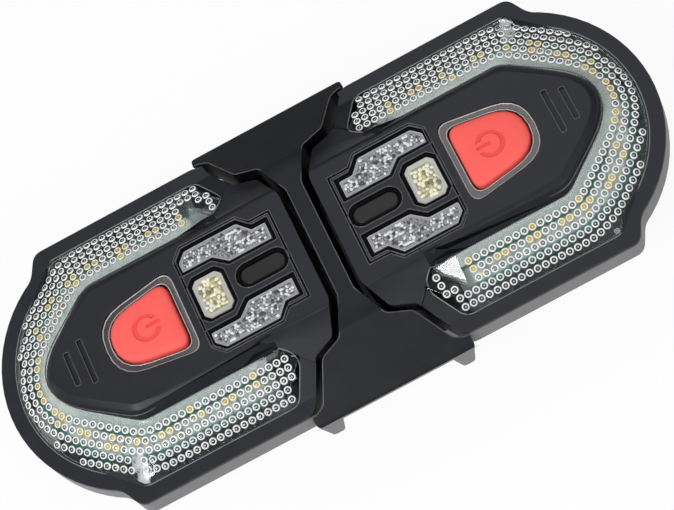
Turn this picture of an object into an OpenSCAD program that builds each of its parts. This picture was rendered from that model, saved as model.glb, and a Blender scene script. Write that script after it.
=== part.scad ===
// Bicycle turn signal light: two detachable lights docked end to end on a seat-post bracket.
// Both lights are the same. They are drawn with x running outwards from the bracket and z = 0 at the
// top of the rim, then lifted into place, and the left one is turned half a turn.

/* [Light outline] */
// Middle of the bracket to the inner face of a light
unit_in_x = 3.15; // [2.8:0.05:3.6]
// Half width of a light over its rim
unit_half_w = 27.45; // [26.5:0.05:28.5]
// Centre of the round outer end
nose_x = 39.5; // [38.5:0.1:40.5]
// Radius of the round outer end
nose_r = 26.3; // [25.8:0.1:27]
// Where the straight long edge ends in a shoulder
shoulder_x = 50; // [49.5:0.1:50.5]
// Length of the shoulder's slant along x
shoulder_run = 2.3; // [1.8:0.1:2.6]
// Half width of the flat inner face
face_half_w = 11.4; // [10.5:0.1:12]
// Neck beside the inner face, along x
neck_x = 5.8; // [5.2:0.1:6.4]
// Half width at the neck
neck_half_w = 17.4; // [16.8:0.1:18]
// Step beside the neck, along x
step_x = 10.2; // [9.6:0.1:10.8]
// Half width at the step
step_half_w = 19; // [18.5:0.1:19.5]
// Where the flare reaches the full width
flare_x = 15.1; // [14.5:0.1:15.7]
// Length of rounding at each outline corner
corner_run = 1.6; // [0.8:0.1:2]
// Length of rounding at the corners of the docking side
dock_run = 0.7; // [0.5:0.1:1]

/* [Light heights] */
// Top of the island above the rim
island_h = 6; // [5.6:0.1:6.4]
// Top of the light band at its inner edge
band_top_h = 3.75; // [3.4:0.05:4]
// Top of the light band at its outer edge
band_low_h = 0.15; // [0.05:0.05:0.4]
// Thickness of the front case's rim
rim_t = 0.8; // [0.6:0.1:1]
// Depth of the upright side wall below the rim
side_h = 6; // [5.5:0.1:6.5]
// Depth of the flat back below the rim
back_h = 9; // [8.8:0.1:9.6]
// Wall thickness of the front case
front_t = 1.4; // [1.2:0.1:1.5]
// Wall thickness of the rear case
rear_t = 1.8; // [1.7:0.1:2]
// Thickness of the rear case's floor
floor_t = 1.4; // [1.2:0.1:1.5]
// Inset of the pan at the back
pan_inset = 2.5; // [2:0.1:3]

/* [Island and light band] */
// Rim left outside the light band
rim_w = 3.05; // [2.8:0.05:3.4]
// Half width of the island's top
island_half_w = 12.8; // [12.6:0.1:13]
// Where the island's sides start to close in
island_corner_x = 43; // [42:0.1:44]
// Where the island's closing sides would meet
island_tip_x = 60.2; // [59:0.1:61]
// Length of rounding at the island's nose
island_nose_run = 12.5; // [11:0.1:13]
// Width of the sloping flank beside the island
flank_w = 1.8; // [1.5:0.1:2]
// Width of the flank at the nose, along x
flank_nose_w = 1; // [0.8:0.1:1.4]
// Thickness of the light band
lens_t = 1.3; // [1:0.1:1.4]
// Inner end of the light band
lens_end_x = 12.9; // [12.4:0.1:13.4]
// Half width where the light band's end corner is cut
lens_end_half_w = 17.5; // [17:0.1:18]
// Size of the cut on that corner
lens_end_cut = 2.6; // [2:0.1:3]
// First engraved slot near the nose, along x
slot_a_x = 47.5; // [47:0.1:48]
// Second engraved slot, along x
slot_b_x = 50.6; // [50:0.1:51]
// Half length of the first slot
slot_a_half = 4.6; // [4:0.1:5]
// Half length of the second slot
slot_b_half = 3.5; // [3:0.1:4]
// Width of an engraved slot
slot_w = 1.1; // [0.8:0.1:1.3]
// Depth of engraved slots
slot_depth = 0.5; // [0.3:0.1:0.7]

/* [Beads on the light band] */
// Radius of a bead at its foot
bead_r = 1; // [0.8:0.05:1.1]
// Radius of a bead's flat top
bead_top_r = 0.5; // [0.4:0.05:0.7]
// Height of a bead above the light band
bead_h = 0.7; // [0.5:0.05:0.8]
// Inner edge of the light band to the middle of the first row
bead_first = 2; // [1.8:0.05:2.2]
// From one row of beads to the next
bead_row_step = 2.2; // [2.1:0.05:2.4]
// From one bead to the next along a row
bead_step = 2.55; // [2.4:0.05:2.8]

/* [Panel] */
// Inner end of the panel's frame
panel_x0 = 5.9; // [5.6:0.1:6.2]
// Outer end of the panel's frame
panel_x1 = 25.9; // [25.6:0.1:26.2]
// Half width of the panel
panel_half_w = 11.55; // [11.3:0.05:11.8]
// Half width of the panel's narrow inner part
panel_neck_half_w = 9.55; // [9.3:0.05:9.8]
// Where the panel steps out to its full width
panel_step_x = 10.2; // [10:0.1:10.4]
// Length of that step along x
panel_step_run = 1.9; // [1.7:0.1:2.1]
// Cut on the panel's outer corners
panel_cut = 2.2; // [2:0.1:2.4]
// Width of the frame's groove
groove_w = 0.45; // [0.3:0.05:0.5]
// Depth of the groove and of the trays round the windows
tray_depth = 0.35; // [0.2:0.05:0.5]
// Margin of tray round a window
tray_margin = 0.8; // [0.6:0.05:0.9]
// Inner end of the side windows
win_x0 = 7.6; // [7.4:0.1:7.9]
// Outer end of the side windows
win_x1 = 25; // [24.8:0.1:25.1]
// Outer edge of a side window's wide part
win_out_half = 10.3; // [10.1:0.05:10.4]
// Outer edge of a side window's narrow part
win_neck_half = 7.8; // [7.6:0.05:8]
// Inner edge of a side window beside the oblong window
win_in_half = 4.4; // [4.3:0.05:4.6]
// Inner edge of a side window beside the eight-sided window
win_in_half_wide = 6.7; // [6.6:0.05:6.9]
// Start of a side window's outer step
win_step_out_x = 10.35; // [10.1:0.05:10.6]
// Start of a side window's inner step
win_step_in_x = 16.4; // [16.2:0.1:16.6]
// Length of a side window's outer step
win_step_out_run = 2.2; // [2:0.1:2.4]
// Length of a side window's inner step
win_step_in_run = 2.65; // [2.5:0.05:2.8]
// Cut on a side window's outer corner
win_cut = 1.7; // [1.4:0.1:1.9]
// Middle of the eight-sided window
oct_x = 21.7; // [21.6:0.1:21.9]
// Half length of the eight-sided window along x
oct_half_x = 3; // [2.8:0.1:3.1]
// Half width of the eight-sided window along y
oct_half_y = 4.05; // [3.8:0.05:4.2]
// Cut on the eight-sided window's corners
oct_cut = 1; // [0.7:0.1:1.3]
// Middle of the oblong window
pad_x = 11.5; // [11.3:0.1:11.7]
// Half length of the oblong window
pad_half_len = 4.5; // [4.2:0.1:4.6]
// Half width of the oblong window
pad_half_w = 1.7; // [1.5:0.1:1.8]
// Thickness of the windows
window_t = 1.5; // [1.2:0.1:1.8]

/* [Button] */
// Straight inner side of the button
button_x0 = 28.9; // [28.7:0.1:29.3]
// Round outer end of the button
button_x1 = 42.1; // [41.7:0.1:42.3]
// Half width at the button's inner side
button_half_in = 6.9; // [6.6:0.1:7]
// Half width at the button's outer end
button_half_out = 4.8; // [4.6:0.1:5]
// Length of rounding at the inner corners
button_in_run = 2.6; // [2:0.1:3]
// Length of rounding at the outer corners
button_out_run = 5.6; // [4.5:0.1:6]
// Top of the button above the rim
button_h = 6.9; // [6.7:0.1:7.2]
// How far the button can be pressed
button_travel = 0.8; // [0.5:0.1:0.8]
// Radius of the power symbol
symbol_r = 2.4; // [2:0.1:2.6]
// Line width of the power symbol
symbol_w = 0.55; // [0.4:0.05:0.6]
// Depth of the power symbol
symbol_depth = 0.3; // [0.2:0.05:0.5]
// Width of the bezel round the button
bezel_w = 1.2; // [1:0.1:1.3]
// Top of the bezel above the rim
bezel_h = 5.6; // [5.4:0.1:5.8]
// Width of the flanges that hold the button and its bezel in
flange_w = 0.8; // [0.6:0.1:0.9]

/* [Inside] */
// Depth of the circuit board's top below the rim
board_depth = 1.6; // [1.5:0.1:1.8]
// Thickness of the circuit board
board_t = 1; // [0.8:0.1:1.2]
// Gap between the circuit board and the case wall
board_gap = 0.5; // [0.3:0.1:0.8]
// Number of chips round the bend of the light band
bend_leds = 10; // [8:2:12]
// Number of chips on each straight run
run_leds = 4; // [3:1:4]
// Inner edge of the light band to the middle of the row of chips
led_in = 3.6; // [3.2:0.1:4.8]
// Length of a light chip
led_l = 2.8; // [2.2:0.1:3]
// Width of a light chip
led_w = 2.2; // [1.8:0.1:2.4]
// Height of a light chip
led_h = 0.8; // [0.6:0.1:0.9]
// Width of the switch under the button
switch_w = 6; // [5:0.2:6.4]
// Height of that switch
switch_h = 3.4; // [3:0.1:3.6]
// Radius of the switch's plunger
plunger_r = 1.75; // [1.5:0.05:1.9]
// Depth of the plunger in the switch
plunger_seat = 1.2; // [1:0.1:1.4]
// Width of the controller chip
controller_w = 5; // [4:0.2:5]
// Height of the controller chip
controller_h = 1; // [0.8:0.1:1.1]
// Width of the radio chip
radio_w = 4; // [3.4:0.2:4.4]
// Height of the radio chip
radio_h = 0.9; // [0.7:0.1:1]
// Width of the coil
coil_w = 4; // [3.4:0.2:4.4]
// Height of the coil
coil_h = 1.8; // [1.5:0.1:2]
// Length of the crystal
crystal_l = 3.2; // [2.6:0.2:3.4]
// Width of the crystal
crystal_w = 2.5; // [2:0.1:2.6]
// Height of the crystal
crystal_h = 0.8; // [0.6:0.1:0.9]
// Space between chips
chip_space = 2.4; // [2:0.1:2.6]
// Battery length
battery_l = 26; // [22:0.5:26]
// Battery width
battery_w = 28; // [24:0.5:29]
// Battery thickness
battery_t = 4; // [3.4:0.1:4.1]
// Inner end of the battery
battery_x0 = 15; // [14:0.1:15.4]
// Inner pair of screw posts, along x
post_in_x = 8.6; // [8.4:0.1:8.8]
// Inner pair of screw posts, along y
post_in_y = 13.6; // [13.4:0.1:13.8]
// Outer pair of screw posts, along x
post_out_x = 45.5; // [45.3:0.1:45.6]
// Outer pair of screw posts, along y
post_out_y = 9.4; // [9.2:0.1:9.5]
// Wall of a screw post round the screw's head
post_wall = 1; // [0.8:0.1:1.1]
// Radius of the bosses that take the screws
boss_r = 2.1; // [1.9:0.1:2.3]
// Radius of the screws
screw_r = 1; // [0.9:0.05:1.1]
// Radius of the screws' heads
head_r = 1.9; // [1.7:0.05:2]
// Thickness of the screws' heads
head_t = 1.4; // [1.2:0.1:1.5]
// Tip of the case screws above the rim
screw_top = 1.6; // [1.2:0.1:1.8]
// Inset of the seal from the case's side
seal_in = 0.5; // [0.4:0.05:0.6]
// Width of the seal
seal_w = 0.8; // [0.6:0.05:0.9]
// Thickness of the seal
seal_t = 0.7; // [0.5:0.05:0.9]
// Charging socket's middle along x
port_x = 51.5; // [51:0.1:52]
// Length of the charging socket
port_l = 8.94; // [8.8:0.02:9.1]
// Width of the charging socket
port_w = 3.2; // [3.1:0.02:3.3]
// Depth of the charging socket
port_depth = 3.4; // [3:0.1:3.6]
// Thickness of the charging socket's metal shell
port_shell = 0.3; // [0.25:0.05:0.35]
// Thickness of the tongue in the socket
tongue_t = 0.7; // [0.6:0.05:0.8]
// Tongue's side to the socket's outside
tongue_inset = 1.2; // [1:0.1:1.4]
// Tongue's tip to the socket's mouth
tongue_start = 0.9; // [0.8:0.1:1.1]
// Thickness of the collar round the socket
collar_t = 2.5; // [2:0.1:2.8]
// Height of that collar
collar_h = 1.2; // [0.8:0.1:1.4]
// Length of the port cover
flap_l = 8.8; // [8.4:0.1:9]
// Width of the port cover
flap_w = 11.8; // [11.4:0.1:12]
// Thickness of the port cover
flap_t = 0.9; // [0.8:0.05:1]
// How far the port cover's plug goes into the socket
plug_reach = 0.5; // [0.3:0.05:0.6]

/* [Bracket] */
// Gap between a docked light and the bracket
dock_gap = 1.5; // [1.3:0.05:1.6]
// Half width of the bracket over its flanges
bracket_half_w = 29.6; // [28.8:0.05:31]
// Half length of a flange's outer edge, over its ears
ear_x = 15.8; // [15.4:0.1:16.4]
// Rounding of an ear's corners
ear_run = 0.8; // [0.6:0.1:0.8]
// Gap between an ear and the long side of a light
ear_gap = 0.5; // [0.4:0.05:0.7]
// Top of the strip above the rim
strip_h = 5.5; // [5:0.1:6]
// Where the strip folds down into the flanges
fold_y = 17; // [16:0.1:18]
// Depth of the flange's outer edge below the rim
flange_drop = 1; // [0.6:0.1:1.4]
// Thickness of the cover
cover_t = 1; // [0.8:0.1:1.2]
// Thickness of the plate under the cover
plate_t = 1.1; // [0.9:0.1:1.4]
// Thickness of the cover's skirt beside the lights
skirt_t = 0.6; // [0.5:0.05:0.7]
// Depth of the skirt below the rim
skirt_depth = 7.5; // [6:0.1:8]
// End of the skirt to the flange's outer edge
skirt_end = 2.2; // [2:0.05:3]
// End of the block under the cover to the flange's outer edge
core_end = 5.1; // [4.6:0.05:6]
// Cover screws to the flange's outer edge
screw_end = 8.1; // [7.6:0.05:8.6]
// Radius of the cover's screw bosses
cover_boss_r = 2.2; // [2:0.1:2.4]
// Tip of the cover screws below the rim
cover_screw_depth = 0.5; // [0.3:0.1:1]
// Strap lugs, along x
lug_x = 13.2; // [12.8:0.1:13.4]
// Width of a lug at its root
lug_w = 4.8; // [4.2:0.1:5]
// Width of a lug at its tip
lug_tip_w = 2.2; // [2:0.1:3]
// Thickness of a lug
lug_t = 1.5; // [1.2:0.1:1.6]
// Depth of a lug's tip below the rim
lug_depth = 8.3; // [7:0.1:9]

/* [Rail and saddle] */
// Radius of the seat post
post_r = 13.6; // [13.2:0.1:14]
// Depth of the trough over the post
saddle_depth = 6.6; // [6.5:0.1:7]
// Half width of the saddle
saddle_half_w = 15; // [14.8:0.1:16]
// Half length of the saddle
saddle_half_l = 20; // [18:0.5:20]
// Thickness of the rubber pad
pad_t = 1.4; // [1.2:0.1:1.6]
// Thickness over the trough
roof_t = 1.2; // [1:0.1:1.6]
// Outer end of the rail channel
rail_x1 = 27; // [25:0.5:28]
// Foot's outer end to the channel's
foot_setback = 1.2; // [0.8:0.1:2]
// Half width of the foot's head
foot_half_w = 7.5; // [7:0.1:8]
// Half width of the foot's neck
foot_neck_half_w = 5; // [4.5:0.1:5.4]
// Thickness of the foot's head
foot_t = 1.6; // [1.4:0.1:2]
// Thickness of the lips over the foot
lip_t = 1.1; // [0.9:0.1:1.4]
// Thickness of the channel's side walls
rail_wall = 2.5; // [2:0.1:3]

/* [Hidden] */
UNIT_NODES = [
    "front_case", "lens", "side_windows", "status_window", "receiver_window", "button", "button_bezel",
    "rear_case", "case_seal", "case_screws", "circuit_board", "amber_leds", "centre_leds", "status_leds",
    "control_chips", "tact_switch", "switch_plunger", "battery", "usb_port", "port_cover"
];
BRACKET_NODES = ["bracket_cover", "bracket_base", "saddle_pad", "bracket_screws"];
SIDES = ["left", "right"];

$fn = 48;
// Facets of the seat post and its pad
post_facets = 96;
// Sides of a bead
bead_sides = 6;
// Clearance between pieces that stay together
fit_gap = 0.1;
// Clearance between pieces that move
move_gap = 0.3;
// Clearance round a screw or a plunger in its bore
screw_gap = 0.06;
// Room past a screw's tip
screw_room = 0.4;
// Clearance round the charging socket
port_gap = 0.2;
// Overlap that lets joined shapes fuse
bite = 0.05;
// How far a cut runs past what it cuts
over = 1;
// Segments in an outline's rounded corner
corner_steps = 5;
// Degrees between points on the round end
nose_step = 5;
// Corners that turn less than this many degrees belong to a curve and stay as they are
sharp_turn = 12;

// Levels below the rim
board_top = -board_depth;
board_low = board_top - board_t;
floor_top = -back_h + floor_t;
ceiling = island_h - front_t;
tray_floor = island_h - tray_depth;
window_top = tray_floor + bite;
// Levels above the ground, from the saddle up
roof_z = saddle_depth + pad_t;
rail_z = roof_z + roof_t;
foot_z = rail_z + move_gap;
lip_z = foot_z + foot_t + move_gap;
back_z = lip_z + lip_t + move_gap;
rim_z = back_z + back_h;
// The post's axis lies below the ground that the saddle stands on
post_z = saddle_depth - post_r;

// Outline helpers
function unit(v) = v / norm(v);
function normal(a, b) = let (d = unit(b - a)) [d[1], -d[0]];
function at(p, i) = p[(i + len(p)) % len(p)];
// Point on the curve that leaves a towards b and ends at c
function bend(a, b, c, t) = (1 - t) * (1 - t) * a + 2 * t * (1 - t) * b + t * t * c;
// An outline that runs anticlockwise, moved outwards by d
function grown(p, d) = [
    for (i = [0 : len(p) - 1])
        let (m = normal(at(p, i - 1), p[i]), n = normal(p[i], at(p, i + 1)))
        p[i] + d * (m + n) / (1 + m * n)
];
function turn(p, i) =
    let (a = unit(p[i] - at(p, i - 1)), b = unit(at(p, i + 1) - p[i]))
    acos(max(-1, min(1, a * b)));
// The same outline with its sharp corners rounded, each over a run of its two sides.
// The run is one length, or a list with one for each corner.
function rounded(p, run) = [
    for (i = [0 : len(p) - 1])
        let (back = at(p, i - 1) - p[i], ahead = at(p, i + 1) - p[i])
        let (r = is_list(run) ? run[i] : run)
        let (a = p[i] + unit(back) * min(r, norm(back) / 2.1))
        let (b = p[i] + unit(ahead) * min(r, norm(ahead) / 2.1))
        each turn(p, i) < sharp_turn ? [p[i]] :
            [for (k = [0 : corner_steps]) bend(a, p[i], b, k / corner_steps)]
];
// A half outline with y > 0, completed by its mirror image to run anticlockwise
function mirrored(half) = concat(
    [for (p = half) [p[0], -p[1]]],
    [for (i = [len(half) - 1 : -1 : 0]) if (half[i][1] > 0) half[i]]
);

// Outline of a light
dock_half = [
    [unit_in_x, face_half_w],
    [neck_x, neck_half_w],
    [step_x, step_half_w],
    [flare_x, unit_half_w]
];
notch_angle = acos((shoulder_x + shoulder_run - nose_x) / nose_r);
nose_steps = floor(notch_angle / nose_step);
rim_half = concat(
    dock_half,
    [[shoulder_x, unit_half_w]],
    [for (k = [0 : nose_steps])
        let (a = notch_angle * (1 - k / nose_steps))
        [nose_x + nose_r * cos(a), nose_r * sin(a)]]
);
rim_raw = mirrored(rim_half);
dock_corners = len(dock_half) - 1;
rim_runs_half = [for (i = [0 : len(rim_half) - 1]) i < dock_corners ? dock_run : corner_run];
rim_runs = concat(
    rim_runs_half,
    [for (i = [len(rim_half) - 1 : -1 : 0]) if (rim_half[i][1] > 0) rim_runs_half[i]]
);
function rim(inset) = rounded(grown(rim_raw, -inset), rim_runs);

// Island and inner edge of the light band: straight sides that close in to a round nose.
// They start behind the light's inner face, which cuts them off.
function boat(half_w, corner_x, tip_x, nose_run) =
    let (p = [[0, -half_w], [corner_x, -half_w], [tip_x, 0], [corner_x, half_w], [0, half_w]])
    let (tip = p[2], steps = 2 * corner_steps)
    let (a = tip + unit(p[1] - tip) * nose_run, b = tip + unit(p[3] - tip) * nose_run)
    rounded(concat(
        [p[0], p[1]],
        [for (k = [0 : steps]) bend(a, tip, b, k / steps)],
        [p[3], p[4]]
    ), corner_run);
island = boat(island_half_w, island_corner_x, island_tip_x, island_nose_run);
band_in = boat(
    island_half_w + flank_w,
    island_corner_x,
    island_tip_x + flank_nose_w,
    island_nose_run
);

// Panel frame, windows and button
panel = mirrored([
    [panel_x0, panel_neck_half_w],
    [panel_step_x, panel_neck_half_w],
    [panel_step_x + panel_step_run, panel_half_w],
    [panel_x1 - panel_cut, panel_half_w],
    [panel_x1, panel_half_w - panel_cut]
]);
side_window = [
    [win_x0, win_in_half],
    [win_step_in_x, win_in_half],
    [win_step_in_x + win_step_in_run, win_in_half_wide],
    [win_x1, win_in_half_wide],
    [win_x1, win_out_half - win_cut],
    [win_x1 - win_cut, win_out_half],
    [win_step_out_x + win_step_out_run, win_out_half],
    [win_step_out_x, win_neck_half],
    [win_x0, win_neck_half]
];
octagon = mirrored([
    [oct_x - oct_half_x, oct_half_y - oct_cut],
    [oct_x - oct_half_x + oct_cut, oct_half_y],
    [oct_x + oct_half_x - oct_cut, oct_half_y],
    [oct_x + oct_half_x, oct_half_y - oct_cut]
]);
button_raw = mirrored([[button_x0, button_half_in], [button_x1, button_half_out]]);
// The button's outer end is rounder than its inner corners
function button_outline(gap) =
    rounded(grown(button_raw, gap), [button_in_run, button_out_run, button_out_run, button_in_run]);
button_mid_x = (button_x0 + button_x1) / 2;
// The power symbol sits in the middle of the button's face, which is wider at its inner side
symbol_x = button_mid_x - symbol_w;

// Screw posts
posts = [
    [post_in_x, post_in_y], [post_in_x, -post_in_y],
    [post_out_x, post_out_y], [post_out_x, -post_out_y]
];
sink_top = -back_h + head_t + move_gap;
rear_post_r = head_r + post_wall;

// Button, switch and plunger levels
bezel_low = ceiling - fit_gap - flange_w;
button_low = bezel_low - move_gap - flange_w;
switch_top = board_top + switch_h;
plunger_low = switch_top - plunger_seat;

// Rows of beads that follow the light band's inner edge, as many as it has room for
band_half_w = unit_half_w - rim_w;
bead_rows = floor((band_half_w - island_half_w - flank_w - bead_first - bead_r) / bead_row_step);
bead_end_x = flare_x + rim_w;
bead_sink = lens_t / 2;
// Room between a point of the light band and the band's outer edge
function band_room(p) =
    let (side = band_half_w - abs(p[1]), nose = nose_r - rim_w - norm([p[0] - nose_x, p[1]]))
    p[0] < nose_x ? side : p[0] < shoulder_x ? max(side, nose) : nose;
function band_level(p, from_in) =
    band_top_h + (band_low_h - band_top_h) * from_in / (from_in + band_room(p));
function run_of(p) = len(p) < 2 ? 0 : norm(p[1] - p[0]) + run_of([for (i = [1 : len(p) - 1]) p[i]]);
function along(p, s, i = 0) =
    let (d = norm(p[i + 1] - p[i]))
    s <= d || i == len(p) - 2 ? p[i] + unit(p[i + 1] - p[i]) * s : along(p, s - d, i + 1);

// Row of chips under the light band, evenly spaced round the bend and along the runs
led_path_r = island_half_w + flank_w + led_in;
led_step = PI * led_path_r / bend_leds;

// Foot of the light on its rail
foot_x0 = unit_in_x + 2 * move_gap;
foot_x1 = rail_x1 - foot_setback;

// Port cover: hinge at its inner edge, in a recess in the back
hinge_x = port_x - flap_l / 2;
hinge_z = -back_h + fit_gap + flap_t / 2;
recess_top = hinge_z + flap_t / 2 + move_gap;
port_low = recess_top + fit_gap + port_gap;
collar_top = floor_top + collar_h;
plug_inset = port_shell + move_gap + fit_gap;

// Room for a docked light in the bracket: the light's dock outline kept away by the docking gap,
// and its long sides by the ear gap
dock_edge = grown(rim_raw, dock_gap);
dock_room_half = [for (i = [0 : dock_corners - 1]) let (p = dock_edge[i]) [p[0], -p[1]]];
flare_dir = unit(dock_half[3] - dock_half[2]);
flare_reach = (unit_half_w - ear_gap - dock_room_half[2][1]) / flare_dir[1];
dock_room = mirrored(concat(dock_room_half, [
    dock_room_half[2] + flare_dir * flare_reach,
    [ear_x, unit_half_w + ear_gap],
    [2 * ear_x, unit_half_w + ear_gap]
]));
bracket_plate = [
    [-ear_x, -bracket_half_w], [ear_x, -bracket_half_w], [ear_x, bracket_half_w], [-ear_x, bracket_half_w]
];
// Fall of the flanges for each length outwards
flange_slope = (strip_h + flange_drop) / (bracket_half_w - fold_y);
// What runs along the bracket ends short of its outer edges
skirt_half_l = bracket_half_w - skirt_end;
core_half_l = bracket_half_w - core_end;
cover_screw_y = bracket_half_w - screw_end;
// Levels of the cover's screws and bosses
cover_boss_low = -side_h;
cover_screw_top = -cover_screw_depth;
cover_sink_top = rail_z - rim_z + head_t + move_gap;

// Extruded outline between two levels
module slab(outline, low, high) {
    translate([0, 0, low]) linear_extrude(high - low) polygon(outline);
}

// Outline between two levels, with a second outline taken out
module ring(outer, inner, low, high) {
    difference() {
        slab(outer, low, high);
        slab(inner, low - bite, high + bite);
    }
}

// Flat bar with round ends along y
module stadium(length, width, low, high) {
    straight = length - width;
    translate([-width / 2, -straight / 2, low]) cube([width, straight, high - low]);
    for (s = [-1, 1])
        translate([0, s * straight / 2, low]) cylinder(d = width, h = high - low);
}

// Upright round bar between two levels
module pillar(p, r, low, high) {
    translate([p[0], p[1], low]) cylinder(r = r, h = high - low);
}

module both_y() {
    children();
    mirror([0, 1, 0]) children();
}

// A sloping light band under a raised island, lowered by drop
module band_slope(drop) {
    low = -rim_t - 2 * front_t;
    hull() {
        slab(grown(rim_raw, -rim_w), low, band_low_h - drop);
        slab(band_in, low, band_top_h - drop);
        slab([[0, -band_half_w], [bite, 0], [0, band_half_w]], low, band_low_h - drop);
    }
}

// Rim, light band and island as one block, lowered by drop and cut to the inset outline
module crown(drop, inset, low) {
    intersection() {
        slab(rim(inset), low, island_h + over);
        union() {
            band_slope(drop);
            hull() {
                slab(band_in, low - over, band_top_h - drop);
                slab(island, low - over, island_h - drop);
            }
            shoulder(drop + bite, low - over);
            slab(rim(0), low - over, -drop);
        }
    }
}

// Straight slope between the island, the docking side and the ends of the light band
module shoulder(drop, low) {
    reach = lens_end_x + lens_end_half_w - drop * sqrt(2);
    intersection() {
        slab([[0, -reach], [reach, 0], [0, reach]], low, island_h);
        rotate([90, 0, 90]) linear_extrude(reach) polygon([
            [-band_half_w, low], [band_half_w, low],
            [band_half_w, band_low_h - drop], [island_half_w, island_h - drop],
            [-island_half_w, island_h - drop], [-band_half_w, band_low_h - drop]
        ]);
    }
}

// Plan of the light band, with a gap round it
module lens_plan(gap) {
    difference() {
        polygon(rounded(grown(rim_raw, gap - rim_w), corner_run));
        polygon(grown(band_in, -gap));
        polygon(mirrored([
            [0, lens_end_half_w - gap],
            [lens_end_x - gap, lens_end_half_w - gap],
            [lens_end_x + lens_end_cut - gap, lens_end_half_w - lens_end_cut - gap]
        ]));
    }
}

module pad_plan(gap) {
    straight = pad_half_len - pad_half_w;
    square([2 * straight, 2 * (pad_half_w + gap)], center = true);
    for (s = [-1, 1])
        translate([s * straight, 0]) circle(r = pad_half_w + gap);
}

module front_case() {
    color([0.13, 0.13, 0.15])
    difference() {
        union() {
            difference() {
                crown(0, 0, -rim_t);
                crown(front_t, rear_t, -rim_t - bite);
            }
            intersection() {
                crown(front_t / 2, 0, board_top);
                for (p = posts) pillar(p, boss_r, board_top, island_h);
            }
        }
        translate([0, 0, -back_h]) linear_extrude(back_h + island_h) lens_plan(fit_gap);
        for (p = posts) pillar(p, screw_r + screw_gap, board_top - bite, screw_top + screw_room);
        slab(button_outline(move_gap + bezel_w + fit_gap), ceiling - over, island_h + over);
        panel_cuts();
        nose_slots();
    }
}

module panel_cuts() {
    ring(panel, grown(panel, -groove_w), tray_floor, island_h + over);
    both_y() {
        slab(grown(side_window, tray_margin), tray_floor, island_h + over);
        slab(grown(side_window, fit_gap), ceiling - over, island_h);
    }
    slab(grown(octagon, tray_margin), tray_floor, island_h + over);
    slab(grown(octagon, fit_gap), ceiling - over, island_h);
    translate([pad_x, 0, tray_floor]) linear_extrude(tray_depth + over) pad_plan(tray_margin);
    translate([pad_x, 0, ceiling - over]) linear_extrude(front_t + over) pad_plan(fit_gap);
}

module nose_slots() {
    for (s = [[slot_a_x, slot_a_half], [slot_b_x, slot_b_half]])
        translate([s[0] - slot_w / 2, -s[1], island_h - slot_depth])
            cube([slot_w, 2 * s[1], slot_depth + over]);
}

module lens() {
    color([0.85, 0.9, 0.9, 0.5])
    intersection() {
        translate([0, 0, -back_h]) linear_extrude(back_h + island_h) lens_plan(0);
        union() {
            difference() {
                band_slope(0);
                band_slope(lens_t);
            }
            beads();
        }
    }
}

// Every second row is shifted by half a step
module beads() {
    for (row = [0 : bead_rows]) {
        from_in = bead_first + row * bead_row_step;
        path = grown(band_in, from_in);
        middle = run_of(path) / 2;
        n = floor(middle / bead_step) - 1;
        for (k = [-n : n]) {
            p = along(path, middle + (k + (row % 2) / 2) * bead_step);
            if (p[0] > bead_end_x && band_room(p) > bead_r)
                translate([p[0], p[1], band_level(p, from_in) - bead_sink])
                    cylinder(r1 = bead_r, r2 = bead_top_r, h = bead_sink + bead_h, $fn = bead_sides);
        }
    }
}

module side_windows() {
    color([0.75, 0.77, 0.78])
    both_y() slab(side_window, window_top - window_t, window_top);
}

module status_window() {
    color([0.85, 0.84, 0.75])
    slab(octagon, window_top - window_t, window_top);
}

module receiver_window() {
    color([0.22, 0.21, 0.22])
    translate([pad_x, 0, window_top - window_t]) linear_extrude(window_t) pad_plan(0);
}

module button() {
    color([0.95, 0.33, 0.31])
    difference() {
        union() {
            slab(button_outline(0), button_low, button_h);
            slab(button_outline(move_gap + flange_w), button_low, button_low + flange_w);
        }
        translate([symbol_x, 0, button_h - symbol_depth]) power_symbol(symbol_depth + over);
    }
}

// Open ring with a bar in its gap, which faces the bracket
module power_symbol(depth) {
    difference() {
        cylinder(r = symbol_r, h = depth);
        translate([0, 0, -bite]) cylinder(r = symbol_r - symbol_w, h = depth + 2 * bite);
        translate([-2 * symbol_r, -symbol_r / 2, -bite]) cube([2 * symbol_r, symbol_r, depth + 2 * bite]);
    }
    translate([-symbol_r, -symbol_w / 2, 0]) cube([symbol_r, symbol_w, depth]);
}

module button_bezel() {
    wide = move_gap + bezel_w;
    color([0.4, 0.38, 0.38, 0.7])
    difference() {
        union() {
            slab(button_outline(wide), bezel_low, bezel_h);
            slab(button_outline(wide + flange_w), bezel_low, bezel_low + flange_w);
        }
        slab(button_outline(move_gap), bezel_low - over, bezel_h + over);
    }
}

module rear_case() {
    color([0.45, 0.45, 0.46])
    difference() {
        union() {
            difference() {
                union() {
                    slab(rim(0), -side_h, -rim_t);
                    slab(rim(pan_inset), -back_h, -side_h + bite);
                }
                slab(rim(rear_t), -side_h + floor_t, 0);
                slab(rim(pan_inset + rear_t), floor_top, 0);
            }
            for (p = posts) pillar(p, rear_post_r, -back_h + bite, board_low);
            translate([port_x, 0, 0])
                stadium(port_l + 2 * collar_t, port_w + 2 * collar_t, floor_top - bite, collar_top);
            foot();
        }
        ring(rim(seal_in - fit_gap), rim(seal_in + seal_w + fit_gap), -rim_t - seal_t - fit_gap, 0);
        for (p = posts) {
            pillar(p, head_r + fit_gap, -back_h - over, sink_top);
            pillar(p, screw_r + screw_gap, -back_h, 0);
        }
        translate([port_x, 0, 0])
            stadium(port_l + 2 * port_gap, port_w + 2 * port_gap, -back_h - over, 0);
        flap_recess();
    }
}

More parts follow.
